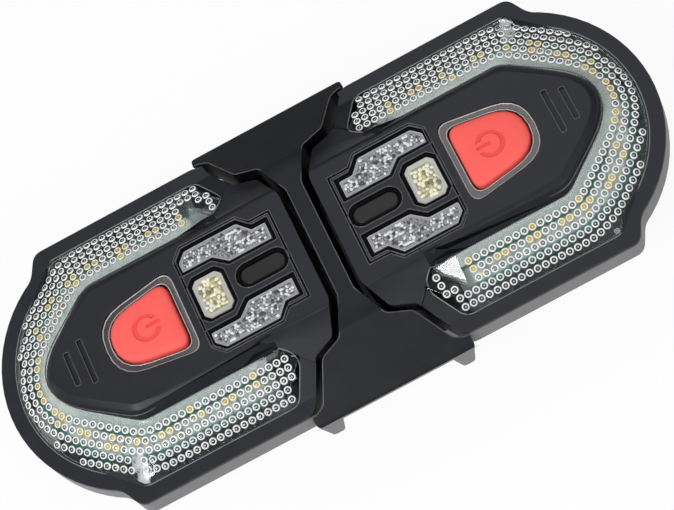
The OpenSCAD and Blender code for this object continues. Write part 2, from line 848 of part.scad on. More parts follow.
// T-shaped foot that slides into the bracket's rail
module foot() {
    length = foot_x1 - foot_x0;
    neck = back_z - lip_z + move_gap;
    translate([foot_x0, -foot_neck_half_w, -back_h - neck])
        cube([length, 2 * foot_neck_half_w, neck + bite]);
    translate([foot_x0, -foot_half_w, -back_h - neck - foot_t + bite])
        cube([length, 2 * foot_half_w, foot_t]);
}

// Room for the port cover and for its hinged edge
module flap_recess() {
    front = hinge_x - flap_t / 2 - move_gap;
    length = flap_l + flap_t / 2 + 2 * move_gap;
    translate([front, -flap_w / 2 - move_gap, -back_h - over])
        cube([length, flap_w + 2 * move_gap, recess_top + back_h + over]);
}

module case_seal() {
    color([0.1, 0.1, 0.1])
    ring(rim(seal_in), rim(seal_in + seal_w), -rim_t - seal_t, -rim_t);
}

// Screw whose head starts at the given level
module screw(p, head_low, tip) {
    pillar(p, head_r, head_low, head_low + head_t);
    pillar(p, screw_r, head_low + head_t - bite, tip);
}

module case_screws() {
    color([0.7, 0.7, 0.72])
    for (p = posts) screw(p, sink_top - head_t, screw_top);
}

module circuit_board() {
    color([0.1, 0.35, 0.3])
    difference() {
        slab(rim(rear_t + board_gap), board_low, board_top);
        for (p = posts) pillar(p, screw_r + move_gap, board_low - over, board_top + over);
    }
}

// Block on the circuit board
module chip(l, w, h) {
    translate([-l / 2, -w / 2, board_top]) cube([l, w, h]);
}

module amber_leds() {
    color([0.95, 0.7, 0.3])
    translate([nose_x, 0, 0]) {
        for (k = [1 : bend_leds - 1])
            rotate([0, 0, 180 * k / bend_leds - 90])
                translate([led_path_r, 0, 0]) chip(led_w, led_l, led_h);
        for (k = [0 : run_leds])
            both_y() translate([-k * led_step, led_path_r, 0]) chip(led_l, led_w, led_h);
    }
}

// Two chips under the narrow part of each side window, and one under its wide part
module centre_leds() {
    narrow_y = (win_in_half + win_neck_half) / 2;
    narrow_l = win_step_in_x - win_x0;
    color([0.95, 0.95, 0.85])
    both_y() {
        for (k = [1, 3]) translate([win_x0 + narrow_l * k / 4, narrow_y, 0]) chip(led_l, led_w, led_h);
        translate([(win_step_in_x + win_x1) / 2, (win_in_half_wide + win_out_half) / 2, 0])
            chip(led_l, led_w, led_h);
    }
}

module status_leds() {
    color([0.95, 0.93, 0.6])
    for (sx = [-1, 1]) for (sy = [-1, 1])
        translate([oct_x + sx * oct_half_x / 2, sy * oct_half_y / 2, 0]) chip(led_w, led_l, led_h);
}

// Controller beside the socket; radio chip, crystal and coil beside the button
module control_chips() {
    side_y = button_half_in + chip_space;
    color([0.12, 0.12, 0.13]) {
        translate([port_x - port_w / 2 - chip_space - controller_w / 2, 0, 0])
            chip(controller_w, controller_w, controller_h);
        translate([button_x0, -side_y, 0]) chip(radio_w, radio_w, radio_h);
        translate([button_x0, side_y, 0]) chip(coil_w, coil_w, coil_h);
    }
    color([0.75, 0.75, 0.76])
    translate([button_x0 + radio_w / 2 + chip_space + crystal_l / 2, -side_y, 0])
        chip(crystal_l, crystal_w, crystal_h);
}

module tact_switch() {
    bore_low = plunger_low - button_travel - move_gap;
    color([0.2, 0.2, 0.21])
    translate([button_mid_x, 0, 0])
    difference() {
        chip(switch_w, switch_w, switch_h);
        pillar([0, 0], plunger_r + screw_gap, bore_low, switch_top + over);
    }
}

module switch_plunger() {
    color([0.85, 0.85, 0.82])
    pillar([button_mid_x, 0], plunger_r, plunger_low, button_low);
}

module battery() {
    low = floor_top + fit_gap;
    color([0.6, 0.62, 0.66])
    slab(rounded(mirrored([
        [battery_x0, battery_w / 2],
        [battery_x0 + battery_l, battery_w / 2]
    ]), corner_run), low, low + battery_t);
}

module usb_port() {
    color([0.75, 0.76, 0.78])
    translate([port_x, 0, 0]) {
        difference() {
            stadium(port_l, port_w, port_low, board_low);
            stadium(
                port_l - 2 * port_shell, port_w - 2 * port_shell,
                port_low - over, port_low + port_depth
            );
        }
        translate([-tongue_t / 2, -port_l / 2 + tongue_inset, port_low + tongue_start])
            cube([tongue_t, port_l - 2 * tongue_inset, port_depth - tongue_start + bite]);
    }
}

module port_cover() {
    color([0.12, 0.12, 0.12])
    translate([0, 0, hinge_z]) {
        translate([hinge_x, flap_w / 2, 0]) rotate([90, 0, 0]) cylinder(d = flap_t, h = flap_w);
        translate([hinge_x, -flap_w / 2, -flap_t / 2]) cube([flap_l, flap_w, flap_t]);
        translate([port_x, 0, 0]) stadium(
            port_l - 2 * plug_inset, port_w - 2 * plug_inset,
            flap_t / 2 - bite, port_low - hinge_z + plug_reach
        );
    }
}

// Plan of the bracket, inset all round: a plate with room for a light at each end
module bracket_plan(inset) {
    difference() {
        polygon(rounded(grown(bracket_plate, -inset), ear_run));
        for (s = [0, 180]) rotate(s) polygon(rounded(grown(dock_room, inset), dock_run));
    }
}

// The bracket's plan between two levels
module bracket_slab(inset, low, high) {
    translate([0, 0, low]) linear_extrude(high - low) bracket_plan(inset);
}

// Strip and flanges between two depths under the bracket's top face, cut to the bracket's plan
module bracket_layer(inset, depth, thick) {
    fold_z = strip_h - depth;
    reach = bracket_half_w + over;
    edge_z = fold_z - flange_slope * (reach - fold_y);
    wide = 2 * (flare_x + bracket_half_w);
    intersection() {
        bracket_slab(inset, -back_h - 2 * back_z, island_h);
        rotate([90, 0, 90]) translate([0, 0, -wide / 2]) linear_extrude(wide) polygon([
            [-reach, edge_z - thick], [-fold_y, fold_z - thick],
            [fold_y, fold_z - thick], [reach, edge_z - thick],
            [reach, edge_z], [fold_y, fold_z],
            [-fold_y, fold_z], [-reach, edge_z]
        ]);
    }
}

// Everything under the bracket's top face, from the given depth down
module bracket_below(depth) {
    bracket_layer(0, depth, 2 * back_z);
}

// Everything within a half length along y
module across(half_l) {
    translate([-bracket_half_w, -half_l, -rim_z]) cube([2 * bracket_half_w, 2 * half_l, 2 * rim_z]);
}

module bracket_cover() {
    screws = [[0, cover_screw_y], [0, -cover_screw_y]];
    color([0.13, 0.13, 0.15])
    difference() {
        union() {
            bracket_layer(0, 0, cover_t);
            intersection() {
                difference() {
                    bracket_slab(0, -skirt_depth, island_h);
                    bracket_slab(skirt_t, -skirt_depth - bite, island_h + bite);
                }
                bracket_below(cover_t / 2);
                across(skirt_half_l);
            }
            intersection() {
                bracket_below(cover_t / 2);
                for (p = screws) pillar(p, cover_boss_r, cover_boss_low, strip_h);
            }
        }
        for (p = screws)
            pillar(p, screw_r + screw_gap, cover_boss_low - over, cover_screw_top + screw_room);
    }
}

module bracket_base() {
    inside = skirt_t + fit_gap;
    color([0.5, 0.5, 0.51])
    difference() {
        union() {
            bracket_layer(inside, cover_t, plate_t);
            difference() {
                bracket_layer(fit_gap, cover_t, plate_t);
                across(skirt_half_l + fit_gap);
            }
            intersection() {
                bracket_below(cover_t + bite);
                bracket_slab(inside, rail_z - rim_z, island_h);
                across(core_half_l);
            }
            rail_block();
            saddle_block();
            lugs();
        }
        for (s = [-1, 1]) {
            p = [0, s * cover_screw_y];
            pillar(p, cover_boss_r + fit_gap, cover_boss_low, island_h);
            pillar(p, screw_r + screw_gap, -rim_z, 0);
            pillar(p, head_r + fit_gap, -rim_z, cover_sink_top);
        }
    }
}

// Block with a T-shaped channel from each end for the lights' feet
module rail_block() {
    half_w = foot_half_w + move_gap + rail_wall;
    head_half = foot_half_w + move_gap;
    neck_half = foot_neck_half_w + move_gap;
    slot = rail_x1 - unit_in_x + over;
    top_z = lip_z + lip_t;
    translate([0, 0, -rim_z])
    difference() {
        translate([-rail_x1, -half_w, roof_z - bite])
            cube([2 * rail_x1, 2 * half_w, top_z - roof_z + bite]);
        for (s = [0, 180]) rotate([0, 0, s]) translate([unit_in_x, 0, rail_z]) {
            translate([0, -head_half, 0]) cube([slot, 2 * head_half, lip_z - rail_z]);
            translate([0, -neck_half, 0]) cube([slot, 2 * neck_half, top_z - rail_z + over]);
        }
    }
}

// Bar along the seat post's axis
module post_bar(r, half_l) {
    translate([0, 0, post_z]) rotate([90, 0, 0])
        cylinder(r = r, h = 2 * half_l, center = true, $fn = post_facets);
}

module saddle_block() {
    translate([0, 0, -rim_z])
    difference() {
        translate([-saddle_half_w, -saddle_half_l, 0])
            cube([2 * saddle_half_w, 2 * saddle_half_l, rail_z]);
        post_bar(post_r + pad_t, saddle_half_l + over);
    }
}

// Four tapered lugs that hold the ends of the straps, under the flanges' ears
module lugs() {
    edge = bracket_half_w - fit_gap;
    root_z = -flange_drop - cover_t - plate_t / 2;
    back_root_z = root_z + flange_slope * lug_t;
    front = [
        [-lug_w / 2, back_root_z], [-lug_tip_w / 2, -lug_depth],
        [lug_tip_w / 2, -lug_depth], [lug_w / 2, back_root_z]
    ];
    tip_run = lug_tip_w / 3;
    difference() {
        for (x = [-lug_x, lug_x]) both_y() translate([x, 0, 0])
            intersection() {
                rotate([90, 0, 90]) translate([0, 0, -lug_w]) linear_extrude(2 * lug_w) polygon([
                    [edge - lug_t, back_root_z], [edge, root_z],
                    [edge, -lug_depth - over], [edge - lug_t, -lug_depth - over]
                ]);
                translate([0, edge + over, 0]) rotate([90, 0, 0])
                    linear_extrude(lug_t + 2 * over)
                        polygon(rounded(front, [bite, tip_run, tip_run, bite]));
            }
        for (s = [0, 180]) rotate(s) slab(grown(rim_raw, ear_gap), -rim_z, 0);
    }
}

module saddle_pad() {
    color([0.1, 0.1, 0.1])
    translate([0, 0, -rim_z])
    intersection() {
        difference() {
            post_bar(post_r + pad_t - bite, saddle_half_l);
            post_bar(post_r, saddle_half_l + over);
        }
        translate([-saddle_half_w, -2 * saddle_half_l, fit_gap])
            cube([2 * saddle_half_w, 4 * saddle_half_l, rail_z]);
    }
}

module bracket_screws() {
    color([0.7, 0.7, 0.72])
    for (s = [-1, 1]) screw([0, s * cover_screw_y], cover_sink_top - head_t, cover_screw_top);
}

// Drawing
translate([0, 0, rim_z]) {
    for (s = SIDES) rotate([0, 0, s == "left" ? 180 : 0]) {
        front_case();
        lens();
        side_windows();
        status_window();
        receiver_window();
        button();
        button_bezel();
        rear_case();
        case_seal();
        case_screws();
        circuit_board();
        amber_leds();
        centre_leds();
        status_leds();
        control_chips();
        tact_switch();
        switch_plunger();
        battery();
        usb_port();
        port_cover();
    }
    bracket_cover();
    bracket_base();
    saddle_pad();
    bracket_screws();
}
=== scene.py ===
"""A bicycle turn signal light: two detachable lights docked on a seat-post bracket.
Both lights are the same. The right one is modelled, and the left one is its copy, turned half a turn.
Lengths are in millimetres, with x running outwards from the bracket and z = 0 at the top of the rim."""

import math
import random

import bpy
import numpy as np
from mathutils import Matrix, Vector


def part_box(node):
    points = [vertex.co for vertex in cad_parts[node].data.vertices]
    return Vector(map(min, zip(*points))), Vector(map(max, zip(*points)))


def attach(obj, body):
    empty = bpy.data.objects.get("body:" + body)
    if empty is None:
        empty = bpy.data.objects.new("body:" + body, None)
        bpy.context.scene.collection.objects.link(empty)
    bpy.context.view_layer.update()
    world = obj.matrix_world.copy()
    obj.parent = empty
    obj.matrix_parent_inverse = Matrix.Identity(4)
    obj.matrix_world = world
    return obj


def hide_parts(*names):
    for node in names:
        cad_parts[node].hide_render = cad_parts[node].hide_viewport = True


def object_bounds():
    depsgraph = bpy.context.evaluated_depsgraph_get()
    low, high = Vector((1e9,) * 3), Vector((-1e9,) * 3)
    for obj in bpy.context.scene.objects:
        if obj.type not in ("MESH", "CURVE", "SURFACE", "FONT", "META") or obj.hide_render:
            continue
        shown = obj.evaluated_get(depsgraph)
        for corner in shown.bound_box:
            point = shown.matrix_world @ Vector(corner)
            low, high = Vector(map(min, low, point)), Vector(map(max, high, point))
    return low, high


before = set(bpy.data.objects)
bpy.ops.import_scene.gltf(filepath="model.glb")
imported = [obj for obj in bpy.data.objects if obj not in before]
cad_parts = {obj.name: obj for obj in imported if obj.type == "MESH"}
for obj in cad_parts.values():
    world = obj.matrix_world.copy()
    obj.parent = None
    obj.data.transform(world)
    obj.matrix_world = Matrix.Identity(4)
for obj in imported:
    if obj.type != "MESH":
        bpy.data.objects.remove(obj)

cad_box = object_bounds()
chance = random.Random(7)

# A millimetre in metres, and levels that several pieces share
MM = 0.001
ISLAND_H = 6.0
TRAY_FLOOR = ISLAND_H - 0.35
BAND_TOP_H, BAND_LOW_H = 3.75, 0.15
RIM_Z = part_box("right_front_case")[1].z / MM - ISLAND_H


# Modelling tools

# Faces of a CAD node that meet at less than this angle, in degrees, become one face
FLAT_ANGLE = 0.4


def hold(obj):
    """Makes obj the only selected object, and the active one."""
    bpy.ops.object.select_all(action="DESELECT")
    obj.select_set(True)
    bpy.context.view_layer.objects.active = obj


def edit(kind):
    bpy.context.tool_settings.mesh_select_mode = [kind == k for k in ("VERT", "EDGE", "FACE")]
    bpy.ops.object.mode_set(mode="EDIT")


def done():
    bpy.ops.object.mode_set(mode="OBJECT")


def spot(co):
    """A point of a mesh, in millimetres from the middle of the rim's plane."""
    return Vector((co[0] / MM, co[1] / MM, co[2] / MM - RIM_Z))


def place(x, y, z):
    """A point given in millimetres, as a point of a mesh."""
    return Vector((x * MM, y * MM, (z + RIM_Z) * MM))


def linked(name, data):
    """A new object with its data, put in the scene."""
    obj = bpy.data.objects.new(name, data)
    bpy.context.scene.collection.objects.link(obj)
    return obj


def primitive(piece, add, **settings):
    """A new primitive, the only thing selected."""
    bpy.ops.object.select_all(action="DESELECT")
    add(**settings)
    obj = bpy.context.object
    obj.name = piece
    return obj


def coat(obj, *materials):
    for m in materials:
        obj.data.materials.append(m)


def select(mesh, items, chosen):
    for every in (mesh.vertices, mesh.edges, mesh.polygons):
        every.foreach_set("select", [False] * len(every))
    for i in chosen:
        items[i].select = True
        for v in items[i].vertices:
            mesh.vertices[v].select = True


def pick_faces(obj, test):
    """Selects the faces whose corners pass a test, and goes into edit mode."""
    hold(obj)
    mesh = obj.data
    points = [spot(v.co) for v in mesh.vertices]
    chosen = [p.index for p in mesh.polygons if test(*[points[v] for v in p.vertices])]
    select(mesh, mesh.polygons, chosen)
    edit("FACE")


def modify(obj, kind, **settings):
    """Adds a modifier to obj and applies it."""
    hold(obj)
    made = obj.modifiers.new(kind.title(), kind)
    for key, value in settings.items():
        setattr(made, key, value)
    bpy.ops.object.modifier_apply(modifier=made.name)


def node_copy(node_name, piece, merge=0.002):
    """A merged copy of a CAD node, as the start of a piece."""
    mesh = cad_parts[node_name].data.copy()
    mesh.materials.clear()
    obj = linked(piece, mesh)
    hold(obj)
    bpy.ops.mesh.customdata_custom_splitnormals_clear()
    edit("EDGE")
    bpy.ops.mesh.select_all(action="SELECT")
    bpy.ops.mesh.remove_doubles(threshold=merge * MM)
    bpy.ops.mesh.dissolve_limited(angle_limit=math.radians(FLAT_ANGLE))
    done()
    return obj


def ease(obj, width, steps, sharp, where=None):
    """Bevels the edges of obj that turn by more than an angle and whose two ends pass a test."""
    hold(obj)
    edit("EDGE")
    bpy.ops.mesh.select_all(action="DESELECT")
    bpy.ops.mesh.edges_select_sharp(sharpness=math.radians(sharp))
    done()
    mesh = obj.data
    points = [spot(v.co) for v in mesh.vertices]
    chosen = [
        e.index for e in mesh.edges
        if e.select and (where is None or where(*[points[v] for v in e.vertices]))
    ]
    select(mesh, mesh.edges, chosen)
    edit("EDGE")
    bpy.ops.mesh.bevel(offset=width * MM, segments=steps, affect="EDGES", clamp_overlap=False)
    done()


def contained(obj, node_name):
    """Keeps every point of obj in the box of a CAD node."""
    low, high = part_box(node_name)
    for v in obj.data.vertices:
        v.co = [min(max(c, least), most) for c, least, most in zip(v.co, low, high)]


def soften(obj, angle):
    """Smooth shading wherever faces meet at less than an angle."""
    hold(obj)
    bpy.ops.object.shade_smooth_by_angle(angle=math.radians(angle))


def smooth(obj, angle=38):
    """Smooth shading between the sharp edges, with flat faces kept flat."""
    soften(obj, angle)
    modify(obj, "WEIGHTED_NORMAL", keep_sharp=True)


def face_out():
    """Turns all the faces of the mesh in edit mode the right way out, and leaves edit mode."""
    bpy.ops.mesh.select_all(action="SELECT")
    bpy.ops.mesh.normals_make_consistent(inside=False)
    done()


def raise_face(step, share, centre):
    """Extrudes the selected face upwards and resizes it about a point."""
    bpy.ops.mesh.extrude_region_move(TRANSFORM_OT_translate={"value": (0, 0, step * MM)})
    bpy.ops.transform.resize(value=(share, share, 1), center_override=centre)


def turned(piece, profile, sides):
    """A turned solid on the z axis, from a circle that is extruded and resized along its profile."""
    (r, z), rest = profile[0], profile[1:]
    obj = primitive(piece, bpy.ops.mesh.primitive_circle_add, vertices=sides, radius=r * MM,
                    fill_type="NGON", location=(0, 0, z * MM))
    bpy.ops.object.transform_apply(location=True, rotation=True, scale=True)
    edit("FACE")
    bpy.ops.mesh.select_all(action="SELECT")
    for next_r, next_z in rest:
        raise_face(next_z - z, next_r / r, (0, 0, next_z * MM))
        r, z = next_r, next_z
    face_out()
    return obj


def block(piece, size, at):
    """A box of the given size whose middle is at a point."""
    obj = primitive(piece, bpy.ops.mesh.primitive_cube_add, size=1, location=[c * MM for c in at])
    obj.scale = [s * MM for s in size]
    bpy.ops.object.transform_apply(location=True, rotation=True, scale=True)
    return obj


def strewn(piece, pattern, frames, finishes=None):
    """One mesh made of copies of a modelled pattern, one for each frame. The pattern goes.
    Where finishes are given, each copy's last material is that many places further on."""
    mesh = pattern.data
    co = np.array([v.co for v in mesh.vertices])
    faces = [list(p.vertices) for p in mesh.polygons]
    points, loops, kinds = [], [], []
    last = max(p.material_index for p in mesh.polygons)
    for k, m in enumerate(frames):
        m = np.array(m)
        points.append(co @ m[:3, :3].T + m[:3, 3])
        loops += [[v + k * len(co) for v in f] for f in faces]
        shift = finishes[k] if finishes else 0
        kinds += [p.material_index + shift * (p.material_index == last) for p in mesh.polygons]
    made = bpy.data.meshes.new(piece)
    made.from_pydata(np.concatenate(points).tolist(), [], loops)
    made.polygons.foreach_set("material_index", kinds)
    obj = linked(piece, made)
    coat(obj, *mesh.materials)
    bpy.data.objects.remove(pattern)
    return obj


def stood(places, z):
    """Upright frames at one level, for places given by x, y and turn."""
    return [Matrix.Translation(place(x, y, z)) @ Matrix.Rotation(turn, 4, "Z") for x, y, turn in places]


def lip(path, z, r, material, closed=True):
    """A thin rounded line along a path, half sunk in the surface that it runs on. z may be a function."""
    curve = bpy.data.curves.new("lip", "CURVE")
    curve.dimensions, curve.bevel_depth, curve.bevel_resolution = "3D", r * MM, 1
    curve.use_fill_caps = not closed
    line = curve.splines.new("POLY")
    line.points.add(len(path) - 1)
    for point, (x, y) in zip(line.points, path):
        point.co = (*place(x, y, z(x, y) if callable(z) else z), 1)
    line.use_cyclic_u = closed
    hold(linked("lip", curve))
    bpy.ops.object.convert(target="MESH")
    obj = bpy.context.object
    bpy.ops.object.shade_smooth()
    coat(obj, material)
    return obj


def joined(first, *others):
    hold(first)
    for o in others:
        o.select_set(True)
    bpy.ops.object.join()
    return first


def cut(obj, cutter, operation="DIFFERENCE"):
    modify(obj, "BOOLEAN", object=cutter, operation=operation, solver="MANIFOLD")
    bpy.data.objects.remove(cutter)


def rides(obj, materials, body, slot, *nodes):
    """Gives a finished piece its materials, body and the nodes that it stands for. Its slot is not used."""
    if materials:
        obj.data.materials.clear()
        coat(obj, *materials)
    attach(obj, body)
    if nodes:
        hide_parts(*nodes)


HALF_TURN = Matrix.Rotation(math.pi, 4, "Z")


def pair(obj, name, materials, part, slot, *nodes):
    """Puts a finished piece on the right light's part, and its copy, turned half a turn, on the left."""
    twin = linked("left_" + name, obj.data.copy())
    twin.data.transform(HALF_TURN)
    obj.name = "right_" + name
    for side, piece in (("right", obj), ("left", twin)):
        rides(piece, materials, f"{side}_{part}", slot, *[f"{side}_{n}" for n in nodes])


# Outlines, as in the part's source

def grown(p, d):
    """An anticlockwise outline, moved outwards by d."""
    out, n = [], len(p)
    for i in range(n):
        a, b, c = (Vector(p[k % n]) for k in (i - 1, i, i + 1))
        u, v = (b - a).normalized(), (c - b).normalized()
        m, w = Vector((u.y, -u.x)), Vector((v.y, -v.x))
        out.append(tuple(b + d * (m + w) / (1 + m.dot(w))))
    return out


def bend(a, b, c, t):
    return (1 - t) ** 2 * a + 2 * t * (1 - t) * b + t * t * c


# A corner's rounding takes at most a little less than half of each side
SIDE_PARTS = 2.1


def rounded(p, run, steps=5, sharp=12):
    """The same outline with its sharp corners rounded over a run of their two sides."""
    out, n = [], len(p)
    for i in range(n):
        a, b, c = (Vector(p[k % n]) for k in (i - 1, i, i + 1))
        r = run[i] if isinstance(run, (list, tuple)) else run
        if math.degrees((b - a).angle(c - b)) < sharp:
            out.append(tuple(b))
            continue
        s = b + (a - b).normalized() * min(r, (a - b).length / SIDE_PARTS)
        e = b + (c - b).normalized() * min(r, (c - b).length / SIDE_PARTS)
        out += [tuple(bend(s, b, e, k / steps)) for k in range(steps + 1)]
    return out


def mirrored(half):
    return [(x, -y) for x, y in half] + [(x, y) for x, y in reversed(half) if y > 0]


def gap_to(p, outline, closed=True):
    """Distance from a point to an outline."""
    q = np.array(outline)
    a, b = (q, np.roll(q, -1, 0)) if closed else (q[:-1], q[1:])
    d = b - a
    t = np.clip(((np.array(p) - a) * d).sum(1) / (d * d).sum(1), 0, 1)
    return float(np.hypot(*(np.array(p) - a - d * t[:, None]).T).min())


def within(p, outline):
    x, y = p
    inside = False
    for (ax, ay), (bx, by) in zip(outline, outline[1:] + outline[:1]):
        if (ay > y) != (by > y) and x < ax + (bx - ax) * (y - ay) / (by - ay):
            inside = not inside
    return inside


# Rim of a light: a docking side, two straight sides that step in, and a round nose
NOSE_X, NOSE_R = 39.5, 26.3
STEP_X, STEP_RUN, SIDE_Y = 50, 2.3, 27.45
DOCK_HALF = [(3.15, 11.4), (5.8, 17.4), (10.2, 19), (15.1, SIDE_Y)]
NOSE_STEP_DEG = 5
CORNER_RUN, DOCK_RUN = 1.6, 0.7
DOCK_CORNERS = 3
RIM_W = 3.05
notch = math.acos((STEP_X + STEP_RUN - NOSE_X) / NOSE_R)
notch_steps = int(math.degrees(notch) // NOSE_STEP_DEG)
notch_angles = [notch * (1 - k / notch_steps) for k in range(notch_steps + 1)]
rim_half = [*DOCK_HALF, (STEP_X, SIDE_Y)]
rim_half += [(NOSE_X + NOSE_R * math.cos(a), NOSE_R * math.sin(a)) for a in notch_angles]
rim_raw = mirrored(rim_half)
half_runs = [DOCK_RUN] * DOCK_CORNERS + [CORNER_RUN] * (len(rim_half) - DOCK_CORNERS)
other_runs = [r for (x, y), r in reversed(list(zip(rim_half, half_runs))) if y > 0]
rim = rounded(rim_raw, half_runs + other_runs)
lens_edge = rounded(grown(rim_raw, -RIM_W), CORNER_RUN)

# Raised island, its face inside the chamfer, and the light band's inner edge
BOAT_X, BOAT_RUN, BOAT_STEPS = 43, 12.5, 10
ISLAND_Y, BAND_Y = 12.8, 14.6


def boat(half_w, tip_x):
    """Straight sides that close in to a round nose."""
    corner, tip = Vector((BOAT_X, half_w)), Vector((tip_x, 0))
    a = tip + (Vector((BOAT_X, -half_w)) - tip).normalized() * BOAT_RUN
    b = tip + (corner - tip).normalized() * BOAT_RUN
    nose = [tuple(bend(a, tip, b, k / BOAT_STEPS)) for k in range(BOAT_STEPS + 1)]
    return rounded([(0, -half_w), (BOAT_X, -half_w), *nose, (BOAT_X, half_w), (0, half_w)], CORNER_RUN)


island = boat(ISLAND_Y, 60.2)
island_face = boat(11.9, 58.8)
band_in = boat(BAND_Y, 61.2)

# Panel on the island, and its windows
panel = mirrored([(5.9, 9.55), (10.2, 9.55), (12.1, 11.55), (23.7, 11.55), (25.9, 9.35)])
side_window = [(7.6, 4.4), (16.4, 4.4), (19.05, 6.7), (25, 6.7), (25, 8.6), (23.3, 10.3),
               (12.55, 10.3), (10.35, 7.8), (7.6, 7.8)]
other_window = [(x, -y) for x, y in reversed(side_window)]
octagon = mirrored([(18.7, 3.05), (19.7, 4.05), (23.7, 4.05), (24.7, 3.05)])
OBLONG_X, OBLONG_HALF_L, OBLONG_R = 11.5, 2.8, 2.5
oblong = []
for end, start in ((1, -90), (-1, 90)):
    for angle in range(start, start + 181, 15):
        a = math.radians(angle)
        oblong.append((OBLONG_X + end * OBLONG_HALF_L + OBLONG_R * math.cos(a), OBLONG_R * math.sin(a)))


# Shared shader groups

def group(name, inputs, outputs):
    tree = bpy.data.node_groups.new(name, "ShaderNodeTree")
    for label, kind, value in inputs:
        socket = tree.interface.new_socket(label, in_out="INPUT", socket_type=kind)
        socket.default_value = value
    for label, kind in outputs:
        tree.interface.new_socket(label, in_out="OUTPUT", socket_type=kind)
    return tree, tree.nodes.new("NodeGroupInput"), tree.nodes.new("NodeGroupOutput")


def node(tree, kind, settings=(), **sockets):
    """A new node with its settings, its plain socket values, and links from other sockets.
    A socket is named, or is i and its number."""
    made = tree.nodes.new(kind)
    for key, value in dict(settings).items():
        setattr(made, key, value)
    for key, value in sockets.items():
        socket = made.inputs[int(key[1:])] if key[0] == "i" and key[1:].isdigit() else made.inputs[key]
        if isinstance(value, bpy.types.NodeSocket):
            tree.links.new(value, socket)
        else:
            socket.default_value = value
    return made


def math_node(tree, operation, a, b=0.0):
    return node(tree, "ShaderNodeMath", {"operation": operation}, i0=a, i1=b).outputs[0]


def map_range(tree, value, low, high, at_low, at_high):
    return node(tree, "ShaderNodeMapRange", i0=value, i1=low, i2=high, i3=at_low, i4=at_high).outputs[0]


FLOAT = "NodeSocketFloat"
BROAD_SHARE, FINE_SHARE = 0.65, 0.35


def make_grain():
    """Fine moulded grain over broad, faint cloudiness."""
    tree, given, out = group(
        "moulded_grain",
        [("Grain", FLOAT, 5000), ("Cloud", FLOAT, 220), ("Roughness", FLOAT, 0.4), ("Spread", FLOAT, 0.1)],
        [("Tone", FLOAT), ("Roughness", FLOAT), ("Height", FLOAT)])
    where = node(tree, "ShaderNodeTexCoord").outputs["Object"]
    fine = node(tree, "ShaderNodeTexNoise", Vector=where, Scale=given.outputs["Grain"], Detail=2.0)
    broad = node(tree, "ShaderNodeTexNoise", Vector=where, Scale=given.outputs["Cloud"], Detail=3.0)
    tone = math_node(tree, "ADD", math_node(tree, "MULTIPLY", broad.outputs[0], BROAD_SHARE),
                     math_node(tree, "MULTIPLY", fine.outputs[0], FINE_SHARE))
    shift = math_node(tree, "MULTIPLY", math_node(tree, "SUBTRACT", tone, 0.5), given.outputs["Spread"])
    tree.links.new(tone, out.inputs["Tone"])
    tree.links.new(math_node(tree, "ADD", given.outputs["Roughness"], shift), out.inputs["Roughness"])
    tree.links.new(fine.outputs[0], out.inputs["Height"])
    return tree


SHEEN_FROM, SHEEN_TO = 0.015, 0.16


def make_edge_sheen():
    """A painted highlight where a surface turns over an edge, broken up by noise."""
    tree, given, out = group(
        "edge_painted_sheen", [("Reach", FLOAT, 0.0003), ("Break", FLOAT, 900)], [("Mask", FLOAT)])
    soft = node(tree, "ShaderNodeBevel", {"samples": 4}, Radius=given.outputs["Reach"])
    flat = node(tree, "ShaderNodeNewGeometry").outputs["Normal"]
    dot = node(tree, "ShaderNodeVectorMath", {"operation": "DOT_PRODUCT"}, i0=soft.outputs[0], i1=flat)
    turn = math_node(tree, "SUBTRACT", 1.0, dot.outputs["Value"])
    where = node(tree, "ShaderNodeTexCoord").outputs["Object"]
    noise = node(tree, "ShaderNodeTexNoise", Vector=where, Scale=given.outputs["Break"], Detail=2.0)
    sheen_share = map_range(tree, turn, SHEEN_FROM, SHEEN_TO, 0.0, 1.0)
    tree.links.new(math_node(tree, "MULTIPLY", sheen_share, noise.outputs[0]), out.inputs["Mask"])
    return tree


GRAIN, EDGE_SHEEN = make_grain(), make_edge_sheen()


# Materials

def blended(tree, factor, a, b):
    """Colours a and b, mixed by a factor. Either may be a plain colour or a socket."""
    mix = node(tree, "ShaderNodeMix", {"data_type": "RGBA"}, Factor=factor)
    for socket, value in ((mix.inputs[6], a), (mix.inputs[7], b)):
        if isinstance(value, bpy.types.NodeSocket):
            tree.links.new(value, socket)
        else:
            socket.default_value = (*value, 1)
    return mix.outputs[2]


def tint(colour, share):
    return [min(1.0, c * share) for c in colour]


SHEEN_REACH, GRAIN_DEPTH = 0.3, 0.03
PLASTIC_IOR, CLEAR_SPREAD = 1.49, 0.03


def finish(name, colour, rough, spec=0.5, grain=5000, cloud=220, spread=0.12, tone=0.25, bump=0.15,
           edge_sheen=None, metallic=0.0):
    """A material with grain in its colour, roughness and bump, and paler edges, a painted highlight, where a
    colour for them is given.
    """
    mat = bpy.data.materials.new(name)
    mat.use_nodes = True
    tree = mat.node_tree
    shader = tree.nodes["Principled BSDF"]
    grained = node(tree, "ShaderNodeGroup", {"node_tree": GRAIN},
                   Grain=grain, Cloud=cloud, Roughness=rough, Spread=spread).outputs
    base = blended(tree, grained["Tone"], tint(colour, 1 - tone), tint(colour, 1 + tone))
    # Paler edges: a painted highlight where the surface turns
    if edge_sheen:
        mask = node(tree, "ShaderNodeGroup", {"node_tree": EDGE_SHEEN}, Reach=SHEEN_REACH * MM).outputs["Mask"]
        base = blended(tree, mask, base, edge_sheen)
    tree.links.new(base, shader.inputs["Base Color"])
    tree.links.new(grained["Roughness"], shader.inputs["Roughness"])
    lift = node(tree, "ShaderNodeBump", Strength=bump, Distance=GRAIN_DEPTH * MM, Height=grained["Height"])
    tree.links.new(lift.outputs[0], shader.inputs["Normal"])
    shader.inputs["Specular IOR Level"].default_value = spec
    shader.inputs["Metallic"].default_value = metallic
    return mat


